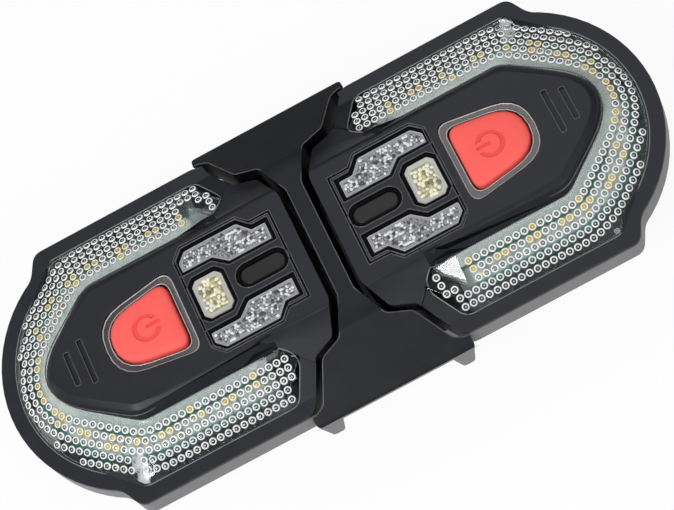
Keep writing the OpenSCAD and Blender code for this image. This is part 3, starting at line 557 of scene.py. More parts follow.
def clear(name, colour, rough, through=1.0, tone=0.04, grain=1500, bump=0.02):
    """A clear plastic that lets lamps through to what is behind it."""
    mat = finish(name, colour, rough, tone=tone, grain=grain, spread=CLEAR_SPREAD, bump=bump)
    tree = mat.node_tree
    shader = tree.nodes["Principled BSDF"]
    shader.inputs["Transmission Weight"].default_value = through
    shader.inputs["IOR"].default_value = PLASTIC_IOR
    film = node(tree, "ShaderNodeBsdfTransparent", Color=(*colour, 1))
    to_lamp = node(tree, "ShaderNodeLightPath").outputs["Is Shadow Ray"]
    mix = node(tree, "ShaderNodeMixShader", i0=to_lamp, i1=shader.outputs[0], i2=film.outputs[0])
    tree.links.new(mix.outputs[0], tree.nodes["Material Output"].inputs["Surface"])
    return mat


# Plastics of the cases and the bracket
CASE_BLACK = (0.0165, 0.0172, 0.0215)
# The paler edge colours given to these plastics are painted highlights
black = finish("black_case", CASE_BLACK, 0.4, spec=0.22, grain=4200, tone=0.45, bump=0.3,
               edge_sheen=(0.06, 0.06, 0.066))
black_soft = finish("black_bracket", (0.014, 0.0147, 0.018), 0.36, spec=0.13, grain=4200, tone=0.4, bump=0.3,
                    edge_sheen=(0.055, 0.055, 0.06))
# Nearly black: painted shade in the window trays, at the foot of the island's flank and on the bracket's
# walls by the gaps
painted_shade = finish("black_painted_shade", (0.0035, 0.0035, 0.0042), 0.6, spec=0.05)
black_dull = finish("black_blend", CASE_BLACK, 0.6, spec=0.03, grain=4200, tone=0.45, bump=0.3)
# The grey's paler edge colour is a painted highlight
grey = finish("grey_shell", (0.19, 0.19, 0.196), 0.5, spec=0.35, edge_sheen=(0.3, 0.3, 0.31))
# Pale grey lines on the black plastic: painted highlights along edges
highlight_line = finish("black_painted_highlight", (0.085, 0.085, 0.092), 0.28, spec=0.5, tone=0.6, cloud=900)
# A paler line round the band's opening: a painted glint
opening_glint = finish("opening_painted_glint", (0.2, 0.2, 0.21), 0.25, spec=0.5, tone=0.7, cloud=500)

# Light band and its beads
lens_clear = clear("lens_clear", (0.88, 0.92, 0.91), 0.03)
lens_margin = clear("lens_margin", (0.76, 0.82, 0.8), 0.2, through=0.73, grain=600, bump=0.01)
# Whitish: a painted highlight on the band's shoulder corner and on one small facet
lens_painted_glare = clear("lens_painted_glare", (0.84, 0.86, 0.88), 0.22, through=0.62)
# Bead rims are a painted reflection and bead dots a painted highlight
bead_painted_rim = finish("bead_painted_rim", (0.95, 0.96, 0.96), 0.25, tone=0.08)
bead_side = clear("bead_side", (0.4, 0.42, 0.42), 0.05, through=0.9)
bead_core = clear("bead_core", (0.36, 0.38, 0.38), 0.05, through=0.92)
bead_painted_dot = clear("bead_painted_dot", (0.75, 0.76, 0.76), 0.12, through=0.3)
# Warm beads: the amber core is a painted image of the chip below; the rim is a warm painted reflection and
# the dot a warm painted highlight
warm_painted_rim = finish("bead_painted_rim_warm", (0.95, 0.85, 0.56), 0.25, tone=0.08)
painted_amber_core = clear("bead_core_painted_amber", (0.9, 0.66, 0.32), 0.1, through=0.6)
warm_painted_dot = clear("bead_painted_dot_warm", (0.95, 0.82, 0.55), 0.1, through=0.3)
lens_dark = clear("lens_end", (0.2, 0.23, 0.22), 0.04)
facet_clear = clear("lens_end_facet", (0.86, 0.9, 0.9), 0.1, through=0.86)

# Windows
frost = clear("window_frost", (0.4, 0.41, 0.43), 0.25, through=0.35)
sparkle_dark = clear("window_dark", (0.1, 0.105, 0.11), 0.15, through=0.4)
sparkle = clear("window_sparkle", (0.88, 0.89, 0.91), 0.12, through=0.2)
sparkle_grey = clear("window_sparkle_grey", (0.42, 0.43, 0.45), 0.12, through=0.35)
frost_warm = clear("window_frost_warm", (0.62, 0.61, 0.58), 0.25, through=0.4)
sparkle_warm = clear("window_sparkle_warm", (0.93, 0.91, 0.7), 0.15, through=0.2)
sparkle_gold = clear("window_sparkle_gold", (0.66, 0.62, 0.38), 0.12, through=0.3)
sparkle_olive = clear("window_sparkle_olive", (0.34, 0.32, 0.2), 0.12, through=0.35)
pad_dark = finish("receiver_smoke", (0.013, 0.0125, 0.0135), 0.32, spec=0.2, tone=0.5, cloud=1500)

# Button and its bezel
smoke = clear("bezel_smoke", (0.1, 0.08, 0.08), 0.1, through=0.45, tone=0.5, grain=260)
# Pale lines on the bezel and inside the windows' edges: painted highlights
painted_rim_highlight = finish("painted_rim_highlight", (0.5, 0.48, 0.48), 0.2, tone=0.6, cloud=400)
red = finish("red_silicone", (0.97, 0.122, 0.105), 0.62, spec=0.3, tone=0.05, bump=0.2, cloud=150)
# Darker red for the symbol's sunk floor: painted shade in the groove
red_painted_shade = finish("red_symbol_painted_shade", (0.8, 0.082, 0.072), 0.65, spec=0.2, tone=0.06)

# Rubber, metal and electronics
rubber = finish("black_rubber", (0.016, 0.016, 0.017), 0.7, spec=0.3, grain=2600, bump=0.5, tone=0.3)
steel = finish("steel", (0.55, 0.55, 0.57), 0.3, grain=3000, spread=0.2, tone=0.1, metallic=1.0)
chip_black = finish("chip_black", (0.015, 0.015, 0.016), 0.45, grain=3500)
cream = finish("chip_body", (0.42, 0.45, 0.46), 0.45, tone=0.06)
amber = finish("chip_amber", (0.92, 0.62, 0.28), 0.5, tone=0.15)
white_glow = finish("chip_white", (0.92, 0.9, 0.8), 0.5, tone=0.08)
yellow_glow = finish("chip_yellow", (0.92, 0.85, 0.4), 0.5, tone=0.1)
plunger_white = finish("plunger_white", (0.75, 0.74, 0.7), 0.4)
foil = finish("battery_foil", (0.5, 0.51, 0.53), 0.35, grain=1200, bump=0.5, metallic=0.8)

# Solder mask: its colours from under the light band's inner rows to under its outer edge
MASK_FROM, MASK_TO = 13.5, 24
MASK_STOPS = [(0.0, (0.03, 0.11, 0.085)), (0.2, (0.04, 0.15, 0.12)), (0.25, (0.5, 0.53, 0.53)),
              (0.52, (0.5, 0.53, 0.52)), (0.57, (0.05, 0.17, 0.145)), (0.66, (0.02, 0.09, 0.08)),
              (0.74, (0.004, 0.006, 0.006))]
# Towards the arms' ends the mask is greyed: a painted reflection
REFLECT_FROM, REFLECT_TO, REFLECT_SHARE, REFLECT_COLOUR = 19, 23, 0.7, (0.1, 0.105, 0.11)
END_FROM, END_TO, END_COLOUR = 15.5, 18.5, (0.004, 0.005, 0.005)
TRACK_SCALE, TRACK_IN, TRACK_OUT, TRACK_SHARE, TRACK_COLOUR = 420.0, 0.03, 0.06, 0.06, (0.1, 0.3, 0.22)


def board_finish():
    """Solder mask that is pale under the light band's inner rows and dark under its outer edge."""
    mat = finish("circuit_board_mask", (0.02, 0.09, 0.07), 0.35, spec=0.5, tone=0.2)
    tree = mat.node_tree
    where = node(tree, "ShaderNodeTexCoord").outputs["Object"]
    split = node(tree, "ShaderNodeSeparateXYZ", i0=where)
    beside = math_node(tree, "ABSOLUTE", split.outputs[0])
    ahead = math_node(tree, "MAXIMUM", math_node(tree, "SUBTRACT", beside, NOSE_X * MM), 0.0)
    out = node(tree, "ShaderNodeCombineXYZ", i0=ahead, i1=split.outputs[1])
    reach = node(tree, "ShaderNodeVectorMath", {"operation": "LENGTH"}, i0=out.outputs[0])
    share = map_range(tree, reach.outputs["Value"], MASK_FROM * MM, MASK_TO * MM, 0.0, 1.0)
    ramp = node(tree, "ShaderNodeValToRGB", i0=share)
    stops = ramp.color_ramp.elements
    while len(stops) < len(MASK_STOPS):
        stops.new(0.5)
    for stop, (at, colour) in zip(stops, MASK_STOPS):
        stop.position = at
        stop.color = (*colour, 1)
    # Greyer towards the arms' ends: a painted reflection
    reflected_share = map_range(tree, beside, REFLECT_FROM * MM, REFLECT_TO * MM, REFLECT_SHARE, 0.0)
    greyed = blended(tree, reflected_share, ramp.outputs[0], REFLECT_COLOUR)
    end = map_range(tree, beside, END_FROM * MM, END_TO * MM, 1.0, 0.0)
    ended = blended(tree, end, greyed, END_COLOUR)
    track = node(tree, "ShaderNodeTexVoronoi", {"feature": "DISTANCE_TO_EDGE"},
                 Vector=where, Scale=TRACK_SCALE)
    line = map_range(tree, track.outputs["Distance"], TRACK_IN, TRACK_OUT, TRACK_SHARE, 0.0)
    traced = blended(tree, line, ended, TRACK_COLOUR)
    tree.links.new(traced, tree.nodes["Principled BSDF"].inputs["Base Color"])
    return mat


board = board_finish()


# Front case: the island's edge has a chamfer, and every edge that shows is eased

NEAR = 0.03
SHOULDER_REACH, SHOULDER_SLACK = 30.4, 0.6
WALL_FOOT, FLANK_FOOT, TRAY_SLACK = -0.7, 3.6, 0.05


def on(outline, *points):
    return all(gap_to(p[:2], outline) < NEAR for p in points)


def at_level(z, *points):
    return all(abs(p.z - z) < NEAR for p in points)


def beside_band(*points):
    return all(p.x + abs(p.y) > SHOULDER_REACH - SHOULDER_SLACK for p in points)


def island_edge(*points):
    return at_level(ISLAND_H, *points) and on(island, *points)


def case_edge(a, b):
    """The edges of the rim's wall, and those of the island's flank beside the light band."""
    wall = on(rim, a, b) and max(a.z, b.z) > WALL_FOOT
    flank = min(a.z, b.z) > FLANK_FOOT and not any(within(p[:2], island_face) for p in (a, b))
    return wall or flank and beside_band(a, b)


# Lines on the panel, pale as painted highlights: how far each runs from what it frames, and its radius
PANEL_STEP, WELL_MARGIN = 0.5, 0.85
LINE_R, LINE_RUN, LINE_STEPS = 0.1, 0.3, 3
SLOT_LINE_R, SLOT_RUN, SLOT_STEPS, SLOT_HALF_W = 0.09, 0.4, 4, 0.55
SLOTS = [(47.5, 4.6), (50.6, 3.5)]


def panel_lines():
    """Thin lines round the panel, the wells of its windows and the two slots, pale as painted highlights."""
    wells = [grown(w, WELL_MARGIN) for w in (octagon, side_window, other_window)]
    framed = [panel, grown(panel, -PANEL_STEP), *wells]
    lines = [lip(rounded(o, LINE_RUN, LINE_STEPS), ISLAND_H, LINE_R, highlight_line) for o in framed]
    lines.append(lip(oblong, ISLAND_H, LINE_R, highlight_line))
    for x, half in SLOTS:
        slot = mirrored([(x - SLOT_HALF_W, half), (x + SLOT_HALF_W, half)])
        lines.append(lip(rounded(slot, SLOT_RUN, SLOT_STEPS), ISLAND_H, SLOT_LINE_R, highlight_line))
    return lines


# Ends of the light band: two corners on the shoulder, and the outer end of the flare
END_A, END_B, FLARE_TOP = (12.9, 17.5), (15.8, BAND_Y), (16.87, 24.4)
BAND_W = FLARE_TOP[1] - BAND_Y
OPENING_X, OPENING_OUT, OPENING_R, OPENING_RUN = 30, 0.2, 0.11, 2.0
OPENING_STEPS, OPENING_SHARP = 6, 20
OPENING_RIM_H, OPENING_LEAD, OPENING_SLACK = 0.03, 0.7, 0.1
# The island's flank fades out of the shoulder between these two places
FADE_FROM, FADE_TO, FADE_LEAD = 16.5, 24.4, 1.2
LEDGE_OUT, LEDGE_DROP, LEDGE_R = 1.0, 1.35, 0.12
LEDGE_END = [(FADE_TO + 0.3, 12.9), (FADE_TO, 13.3)]


def shoulder_level(y):
    return ISLAND_H + (BAND_LOW_H - ISLAND_H) * (abs(y) - ISLAND_Y) / (FLARE_TOP[1] - ISLAND_Y)


def opening_level(x, y):
    if x + abs(y) < SHOULDER_REACH + OPENING_SLACK:
        return shoulder_level(y)
    if x < FLARE_TOP[0]:
        return BAND_TOP_H + (BAND_LOW_H - BAND_TOP_H) * (abs(y) - BAND_Y) / BAND_W
    return OPENING_RIM_H


def opening_line():
    """A thin edge round the light band's opening, pale grey as a painted glint."""
    outer = [p for p in lens_edge if p[0] > FLARE_TOP[0] - OPENING_LEAD]
    arm = [(OPENING_X, BAND_Y), END_B, END_A]
    path = [(x, -y) for x, y in arm] + outer + arm[::-1]
    path = rounded(path, OPENING_RUN, OPENING_STEPS, OPENING_SHARP)
    return lip(grown(path, OPENING_OUT)[1:-1], opening_level, OPENING_R, opening_glint, closed=False)


def ledge_line():
    """A pale line along the foot of the island's flank, a painted highlight."""
    along = [q for q in grown(island, LEDGE_OUT) if q[0] > FADE_TO]
    path = [(x, -y) for x, y in LEDGE_END] + along + LEDGE_END[::-1]
    return lip(path, ISLAND_H - LEDGE_DROP, LEDGE_R, highlight_line, closed=False)


# Blend of the flank and the shoulder: across the flank, y and height of the chamfer, wall and ledge
FOOT_Y, FOOT_SPREAD = 12.95, 1.35
FLANK_Y = [12.05, ISLAND_Y, FOOT_Y, BAND_Y]
FLANK_H = [ISLAND_H, 5.25, BAND_TOP_H, BAND_TOP_H]
LOFT_X, LOFT_Y = 20, 14
BLEND_IN_Y, BLEND_OUT_Y = 12.2, BAND_Y - 0.05
BLEND_LIFT, BLEND_T = 0.02, 0.5


def flank_level(y):
    return float(np.interp(abs(y), FLANK_Y, FLANK_H))


def foot_of(x):
    """Where the dark foot of the blend starts, painted shade at the foot of the flank: it narrows towards the
    band's end.
    """
    return FOOT_Y + FOOT_SPREAD * (FADE_TO - x) / (FADE_TO - FADE_FROM)


def shoulder_blend(side):
    """A lofted sheet on one side, over which the island's flank rises out of the shoulder."""
    blend = primitive("shoulder_blend", bpy.ops.mesh.primitive_grid_add,
                      x_subdivisions=LOFT_X, y_subdivisions=LOFT_Y, size=1)
    for v in blend.data.vertices:
        x = FADE_FROM - FADE_LEAD + (v.co.x + 0.5) * (FADE_TO - FADE_FROM + FADE_LEAD)
        y = float(np.interp(v.co.y, (-0.5, 0, 0.5), (BLEND_IN_Y, foot_of(x), BLEND_OUT_Y)))
        f = min(1, max(0, (x - FADE_FROM) / (FADE_TO - FADE_FROM)))
        f = f * f * (3 - 2 * f)
        high = min(ISLAND_H, shoulder_level(max(y, ISLAND_Y)))
        v.co = place(x, side * y, high + (flank_level(y) - high) * f + BLEND_LIFT)
    blend.data.update()
    if blend.data.polygons[0].normal.z < 0:
        blend.data.flip_normals()
    modify(blend, "SOLIDIFY", thickness=BLEND_T * MM, offset=-1)
    soften(blend, angle=50)
    coat(blend, black_dull, painted_shade)
    # Past the foot, the blend takes painted shade
    for p in blend.data.polygons:
        c = spot(p.center)
        p.material_index = 1 if abs(c.y) > foot_of(c.x) else 0
    return blend


def make_front_case():
    front = node_copy("right_front_case", "front_case_shell", 0.08)
    ease(front, width=0.75, steps=1, sharp=20, where=lambda a, b: island_edge(a, b) and beside_band(a, b))
    ease(front, width=0.9, steps=4, sharp=15, where=lambda a, b: island_edge(a, b) and not beside_band(a, b))
    ease(front, width=0.13, steps=2, sharp=24, where=case_edge)
    smooth(front)
    coat(front, black, painted_shade)
    # The floors of the window trays take painted shade
    for p in front.data.polygons:
        top = max(spot(front.data.vertices[v].co).z for v in p.vertices)
        p.material_index = 1 if abs(top - TRAY_FLOOR) < TRAY_SLACK else 0
    joined(front, *panel_lines(), opening_line(), ledge_line())
    for side in (1, -1):
        joined(front, shoulder_blend(side))
    pair(front, "case_shell", None, "light", "black_plastic", "front_case")


make_front_case()


# Light band: a clear crowned strip with five rows of beads, and flat facets at its ends

BULGE, LENS_T, LENS_EASE = 0.45, 1.3, 0.12
GRID_ROWS, GRID_LINES, LINE_TRIES, LEAST_STEP = 8, 150, 600, 0.2
GRID_START_X, WIDE_FROM_X, ARM_END_X = 9, 20, 2
SQUARE_REACH, LEAST_HIT, FAR_COST = 2.5, 0.5, 0.01
MARGIN_EDGE = -0.3
CUT_Y = 16
FLARE_A, FLARE_B = Vector(END_A), Vector(FLARE_TOP)
BAND_FINISHES = [lens_clear, lens_margin, lens_painted_glare, lens_dark, facet_clear, bead_side, bead_painted_rim, bead_core,
                 bead_painted_dot, warm_painted_rim, painted_amber_core, warm_painted_dot]
CLEAR, MARGIN, WHITE, DARK, FACETED, SIDE, RING, CORE, DOT, RING_WARM, CORE_WARM, DOT_WARM = range(12)

# A whitish patch at one shoulder corner of the band, a painted highlight, and the dark ends of its arms
PATCH = [(47.6, 18.6), (46.2, 18.8), (46.0, 22.4), (46.8, 24.6), (49.8, 24.6), (48.8, 21.6)]
DARK_END = 18.6

# Flat facets cut into the band's inner corner at each end: side, outline, lean and finish
KITE = [(15.4, 14.75), (20.2, 14.75), (19.7, 19.9), (16.3, 16.7)]
CORNER = [(15.4, 14.85), (19.3, 14.75), (18.6, 15.7), (16.2, 15.6)]
CHIP = [(19.6, 14.75), (22.0, 14.75), (21.6, 15.3), (20.6, 15.9)]
# The last facet's whitish finish is a painted highlight
FACETS = [(-1, KITE, (-0.2, -0.43, 0.88), FACETED), (1, CORNER, (-0.2, 0.43, 0.88), FACETED),
          (1, CHIP, (-0.1, 0.5, 0.86), WHITE)]
FACET_CLEARANCE, FACET_SINK, FACET_FILL_OUT = 0.75, 0.02, 0.05
FILL_LOW, FILL_HIGH, CUT_HIGH = -0.9, -0.15, 4.0


def across(p):
    """How far a point of the light band is from its inner edge to its outer edge, from 0 to 1."""
    a, b = gap_to(p, band_in, False), gap_to(p, wide_edge, False)
    return a / (a + b)


def band_level(t):
    return BAND_TOP_H + (BAND_LOW_H - BAND_TOP_H) * t + 4 * BULGE * t * (1 - t)


def measured(path):
    """An open path's points, and how far along it each one is."""
    q = np.array(path)
    return q, np.concatenate([[0], np.cumsum(np.hypot(*np.diff(q, axis=0).T))])


def point_on(q, run, s):
    return Vector((float(np.interp(s, run, q[:, 0])), float(np.interp(s, run, q[:, 1]))))


def outward(s):
    """The way out of the band's inner edge, square to it, at a distance s along it."""
    ahead = point_on(inner, inner_run, min(s + SQUARE_REACH, inner_run[-1]))
    d = ahead - point_on(inner, inner_run, max(s - SQUARE_REACH, 0))
    return Vector((d.y, -d.x)).normalized()


def hit(p, d, outline):
    """Where a ray from p along d first meets an outline, past a least distance."""
    best = None
    for a, b in zip(outline, outline[1:] + outline[:1]):
        a, e = Vector(a), Vector(b) - Vector(a)
        den = d.x * e.y - d.y * e.x
        if abs(den) < 1e-9:
            continue
        w = a - p
        t = (w.x * e.y - w.y * e.x) / den
        u = (w.x * d.y - w.y * d.x) / den
        if t > LEAST_HIT and -1e-6 <= u <= 1 + 1e-6 and (best is None or t < best):
            best = t
    return p + d * best


# The outer edge with its arms carried on, and the inner edge with its length
wide_edge = [p for p in lens_edge if p[0] > WIDE_FROM_X]
wide_edge = [(ARM_END_X, wide_edge[0][1]), *wide_edge, (ARM_END_X, wide_edge[-1][1])]
inner, inner_run = measured(band_in)


def miss(s, corner):
    """How far the line square to the inner edge at s passes from a corner of the outer edge.
    A corner that is far off counts for a little more."""
    away = Vector(corner) - point_on(inner, inner_run, s)
    return abs(away.cross(outward(s))) + away.length * FAR_COST


def grid_lines():
    """Where the grid's cross lines start on the inner edge: evenly, and towards the outer edge's corners."""
    half = len(inner) // 2
    first = float(np.interp(GRID_START_X, inner[:half, 0], inner_run[:half]))
    last = inner_run[-1] - first
    found = list(np.linspace(first, last, GRID_LINES))
    for corner in wide_edge[1:-1]:
        nearest = min(np.linspace(first, last, LINE_TRIES), key=lambda s: miss(s, corner))
        found.append(float(nearest))
    found.sort()
    kept = [found[0]]
    for s in found[1:]:
        if s - kept[-1] > LEAST_STEP:
            kept.append(s)
    return kept


def band_sheet():
    """The band's top as a crowned grid, with the finish of each of its parts."""
    lines = grid_lines()
    lens = primitive("light_band", bpy.ops.mesh.primitive_grid_add,
                     x_subdivisions=GRID_ROWS, y_subdivisions=len(lines) - 1, size=1)
    coat(lens, *BAND_FINISHES)
    for p in lens.data.polygons:
        p.material_index = MARGIN if p.center.x < MARGIN_EDGE else CLEAR
    for v in lens.data.vertices:
        s = lines[round((v.co.y + 0.5) * (len(lines) - 1))]
        t = round((v.co.x + 0.5) * GRID_ROWS) / GRID_ROWS
        a = point_on(inner, inner_run, s)
        m = a.lerp(hit(a, outward(s), wide_edge), t)
        v.co = place(m.x, m.y, band_level(t))
    for p in lens.data.polygons:
        c = spot(p.center)
        if within((c.x, c.y), PATCH):
            p.material_index = WHITE
        elif c.x < DARK_END:
            p.material_index = DARK
    return lens


def slice_off(obj, side, at, normal):
    """Cuts one arm of the band at an upright plane, and drops what lies along the normal."""
    pick_faces(obj, lambda *c: all(side * p.y > 0 and p.x < NOSE_X for p in c))
    bpy.ops.mesh.bisect(plane_co=place(at[0], at[1], 0), plane_no=normal, clear_outer=True)
    done()


def thicken(lens):
    """Cuts the band's ends, and gives the sheet its thickness and eased edges."""
    d = FLARE_B - FLARE_A
    for side in (1, -1):
        slice_off(lens, side, (SHOULDER_REACH - CUT_Y, side * CUT_Y), (-1, -side, 0))
        slice_off(lens, side, (FLARE_A.x, side * FLARE_A.y), (-d.y, side * d.x, 0))
    hold(lens)
    edit("FACE")
    face_out()
    if lens.data.polygons[0].normal.z < 0:
        lens.data.flip_normals()
    modify(lens, "SOLIDIFY", thickness=LENS_T * MM, offset=-1)
    ease(lens, width=LENS_EASE, steps=2, sharp=40)


def on_band(x, y):
    """Whether a bead at a point stays clear of the band's edges, ends and facets."""
    p = (x, abs(y))
    d = (FLARE_B - FLARE_A).normalized()
    end = (x + abs(y) - SHOULDER_REACH) / math.sqrt(2)
    flare = (Vector(p) - FLARE_A).dot(Vector((d.y, -d.x)))
    inside = within((x, y), lens_edge) and gap_to((x, y), lens_edge) > BEAD_MARGIN
    near = [f for side, f, *_ in FACETS
            if side * y > 0 and (within(p, f) or gap_to(p, f) < FACET_CLEARANCE)]
    return inside and min(end, flare) > BEAD_END_MARGIN and not near


def leaned(x, y):
    """A bead's frame on the light band, square to its surface and sunk in it."""
    step = 0.05
    z = band_level(across((x, y)))
    dx = (band_level(across((x + step, y))) - z) / step
    dy = (band_level(across((x, y + step))) - z) / step
    up = Vector((-dx, -dy, 1)).normalized()
    turn = Vector((0, 0, 1)).rotation_difference(up).to_matrix().to_4x4()
    return Matrix.Translation(place(x, y, z) - up * BEAD_SINK * MM) @ turn


# Amber chips under the light band, by place and turn: round the bend, and then out along the arms
BEND_LEDS, RUN_LEDS, LED_R = 10, 4, 18.2
LED_STEP = math.pi * LED_R / BEND_LEDS
amber_places = []
for k in range(1, BEND_LEDS):
    a = math.radians(180 * k / BEND_LEDS - 90)
    amber_places.append((NOSE_X + LED_R * math.cos(a), LED_R * math.sin(a), a + math.pi / 2))
for k in range(RUN_LEDS + 1):
    amber_places += [(NOSE_X - k * LED_STEP, side * LED_R, 0) for side in (1, -1)]
# The last chip of each arm is under the band's dark end
lit_places = amber_places[:-2]

# Beads: a white rim, a painted reflection, round a dark hollow with a pale dot in it, a painted highlight.
# The outer rows have steep cones for rims
BEAD_ROWS, FULL_ROWS = 5, 3
BEAD_PITCH, ROW_FIRST, ROW_STEP = 1.6, 2.08, 1.62
BEAD_MARGIN, BEAD_END_MARGIN, BEAD_SINK, BEAD_SIDES = 0.68, 1.1, 0.25, 10
WARM_REACH, WARM_CHANCE = 3, 0.45
SIDE_H, RING_R, DOT_R = 0.3, 0.42, 0.05
BEAD_PROFILE = [(0.74, 0), (0.74, 0.36), (0.64, 0.52), (0.46, 0.5), (0.34, 0.36), (0.14, 0.4)]
OUTER_PROFILE = [(0.74, 0), (0.73, 0.38), (0.56, 0.56), (0.46, 0.54), (0.34, 0.4), (0.14, 0.42)]
BEAD_KINDS = [
    ("bead", BEAD_PROFILE, RING, CORE, DOT),
    ("outer_bead", OUTER_PROFILE, RING, CORE, DOT),
    ("amber_bead", BEAD_PROFILE, RING_WARM, CORE_WARM, DOT_WARM),
    ("glared_bead", BEAD_PROFILE, WHITE, CLEAR, WHITE),
]


def bead_places():
    """Where the beads stand, each with its row, in rows that run along the band and are set off by turns."""
    places = []
    for row in range(BEAD_ROWS):
        q, run = measured(grown(band_in, ROW_FIRST + ROW_STEP * row))
        middle, n = run[-1] / 2, int(run[-1] / 2 / BEAD_PITCH)
        for k in range(-n, n + 1):
            s = middle + (k + 0.5 * (row % 2)) * BEAD_PITCH
            if 0 < s < run[-1]:
                p = point_on(q, run, s)
                if on_band(p.x, p.y):
                    places.append((p, row))
    return places


def warm_beads(places):
    """The beads where an amber chip's image is painted: the nearest to it, and by chance the next ones."""
    warm = set()
    for x, y, _ in lit_places:
        near = sorted(range(len(places)), key=lambda i: (places[i][0] - Vector((x, y))).length)
        warm.add(near[0])
        warm.update(i for i in near[1:WARM_REACH] if chance.random() < WARM_CHANCE)
    return warm


def bead_pattern(piece, profile, ring, core, dot):
    obj = turned(piece, profile, BEAD_SIDES)
    coat(obj, *BAND_FINISHES)
    # The rim takes a painted reflection and the dot a painted highlight
    for p in obj.data.polygons:
        height, reach = p.center.z / MM, math.hypot(p.center.x, p.center.y) / MM
        p.material_index = SIDE if height < SIDE_H else ring if reach > RING_R else core
        if reach < DOT_R and height > SIDE_H:
            p.material_index = dot
    return obj


def add_beads(lens):
    places = bead_places()
    warm = warm_beads(places)

    def kind_of(i, p, row):
        # Beads in the patch take its painted highlight
        if within((p.x, p.y), PATCH):
            return "glared_bead"
        if i in warm:
            return "amber_bead"
        return "bead" if row < FULL_ROWS else "outer_bead"

    for kind in BEAD_KINDS:
        chosen = [p for i, (p, row) in enumerate(places) if kind_of(i, p, row) == kind[0]]
        frames = [leaned(p.x, p.y) for p in chosen]
        cut(lens, strewn("bead_field", bead_pattern(*kind), frames), "UNION")


def leaning_block(outline, side, lean, low, high, material):
    """A prism on an outline whose two ends lean, from low to high above the plane of a facet."""
    top = (outline[1][0], side * outline[1][1])
    rise = band_level(across(top)) - FACET_SINK + low
    obj = primitive("facet_block", bpy.ops.mesh.primitive_circle_add,
                    vertices=len(outline), radius=MM, fill_type="NGON")
    for v, (x, y) in zip(obj.data.vertices, outline):
        drop = (lean[0] * (x - top[0]) + lean[1] * (side * y - top[1])) / lean[2]
        v.co = place(x, side * y, rise - drop)
    coat(obj, *BAND_FINISHES)
    hold(obj)
    edit("FACE")
    bpy.ops.mesh.select_all(action="SELECT")
    bpy.ops.mesh.extrude_region_move(TRANSFORM_OT_translate={"value": (0, 0, (high - low) * MM)})
    face_out()
    for p in obj.data.polygons:
        p.material_index = material
    return obj


def add_facets(lens):
    for side, outline, lean, material in FACETS:
        filled = leaning_block(grown(outline, FACET_FILL_OUT), side, lean, FILL_LOW, FILL_HIGH, CLEAR)
        cut(lens, filled, "UNION")
        cut(lens, leaning_block(outline, side, lean, 0.0, CUT_HIGH, material))


def make_light_band():
    lens = band_sheet()
    thicken(lens)
    add_beads(lens)
    add_facets(lens)
    soften(lens, angle=44)
    pair(lens, "light_band", None, "light", "clear_plastic", "lens")


make_light_band()


# Windows: a smooth margin round a sunk field of small domes

WINDOW_EASE, FIELD_SINK, FIELD_INSET = 0.12, 0.14, 0.12
WINDOW_LINE_IN, WINDOW_LINE_R = 0.1, 0.07
DOME_SINK, DOME_JITTER, DOME_TILT = 0.2, 0.14, 0.35
DOME_SIZES, DOME_STRETCH = (0.8, 1.35), (0.75, 1.35)
DOME_PROFILE = [(0.54, -0.1), (0.5, 0.2), (0.32, 0.34), (0.1, 0.38)]
DOME_SIDES, DOME_FINISH = 6, 2


def dome_frames(field, pitch, top, shares):
    """Uneven frames that fill a field with domes, and each dome's finish by its share."""
    frames, finishes = [], []
    xs, ys = zip(*field)
    for i in range(int((max(xs) - min(xs)) / pitch) + 1):
        for j in range(int((max(ys) - min(ys)) / pitch) + 1):
            x = min(xs) + (i + 0.5 * (j % 2) + chance.uniform(-DOME_JITTER, DOME_JITTER)) * pitch
            y = min(ys) + (j + chance.uniform(-DOME_JITTER, DOME_JITTER)) * pitch
            if not within((x, y), field):
                continue
            size = pitch * chance.uniform(*DOME_SIZES)
            long = chance.uniform(*DOME_STRETCH)
            tilt = Matrix.Rotation(chance.uniform(-DOME_TILT, DOME_TILT), 4, "X")
            turn = Matrix.Rotation(chance.uniform(0, math.tau), 4, "Z")
            shape = Matrix.Diagonal((size * long, size / long, size, 1))
            frames.append(Matrix.Translation(place(x, y, top - DOME_SINK)) @ turn @ tilt @ shape)
            finishes.append(chance.choices(range(len(shares)), shares)[0])
    return frames, finishes


def window(source, piece, outlines, margin, pitch, kinds, shares):
    """A window with a margin of the first finish and a sunk field of the second, filled with domes.
    The domes take the other finishes, by their shares."""
    obj = node_copy(source, piece)
    coat(obj, *kinds)
    top = max(spot(v.co).z for v in obj.data.vertices)
    ease(obj, width=WINDOW_EASE, steps=2, sharp=40, where=lambda a, b: at_level(top, a, b))
    pick_faces(obj, lambda *c: at_level(top, *c))
    bpy.ops.mesh.inset(thickness=margin * MM, depth=-FIELD_SINK * MM)
    done()
    for p in obj.data.polygons:
        p.material_index = 1 if p.select else 0
    smooth(obj)
    frames, finishes, edges = [], [], []
    # A pale line inside each window's edge is a painted highlight
    for outline in outlines:
        edge = rounded(grown(outline, -WINDOW_LINE_IN), LINE_RUN, LINE_STEPS)
        edges.append(lip(edge, top, WINDOW_LINE_R, painted_rim_highlight))
        more, their = dome_frames(grown(outline, -margin - FIELD_INSET), pitch, top, shares)
        frames += more
        finishes += their
    dome = turned("dome", DOME_PROFILE, DOME_SIDES)
    coat(dome, *kinds)
    for p in dome.data.polygons:
        p.material_index = DOME_FINISH
    domes = strewn("domes", dome, frames, finishes)
    soften(domes, angle=42)
    return joined(obj, domes, *edges)


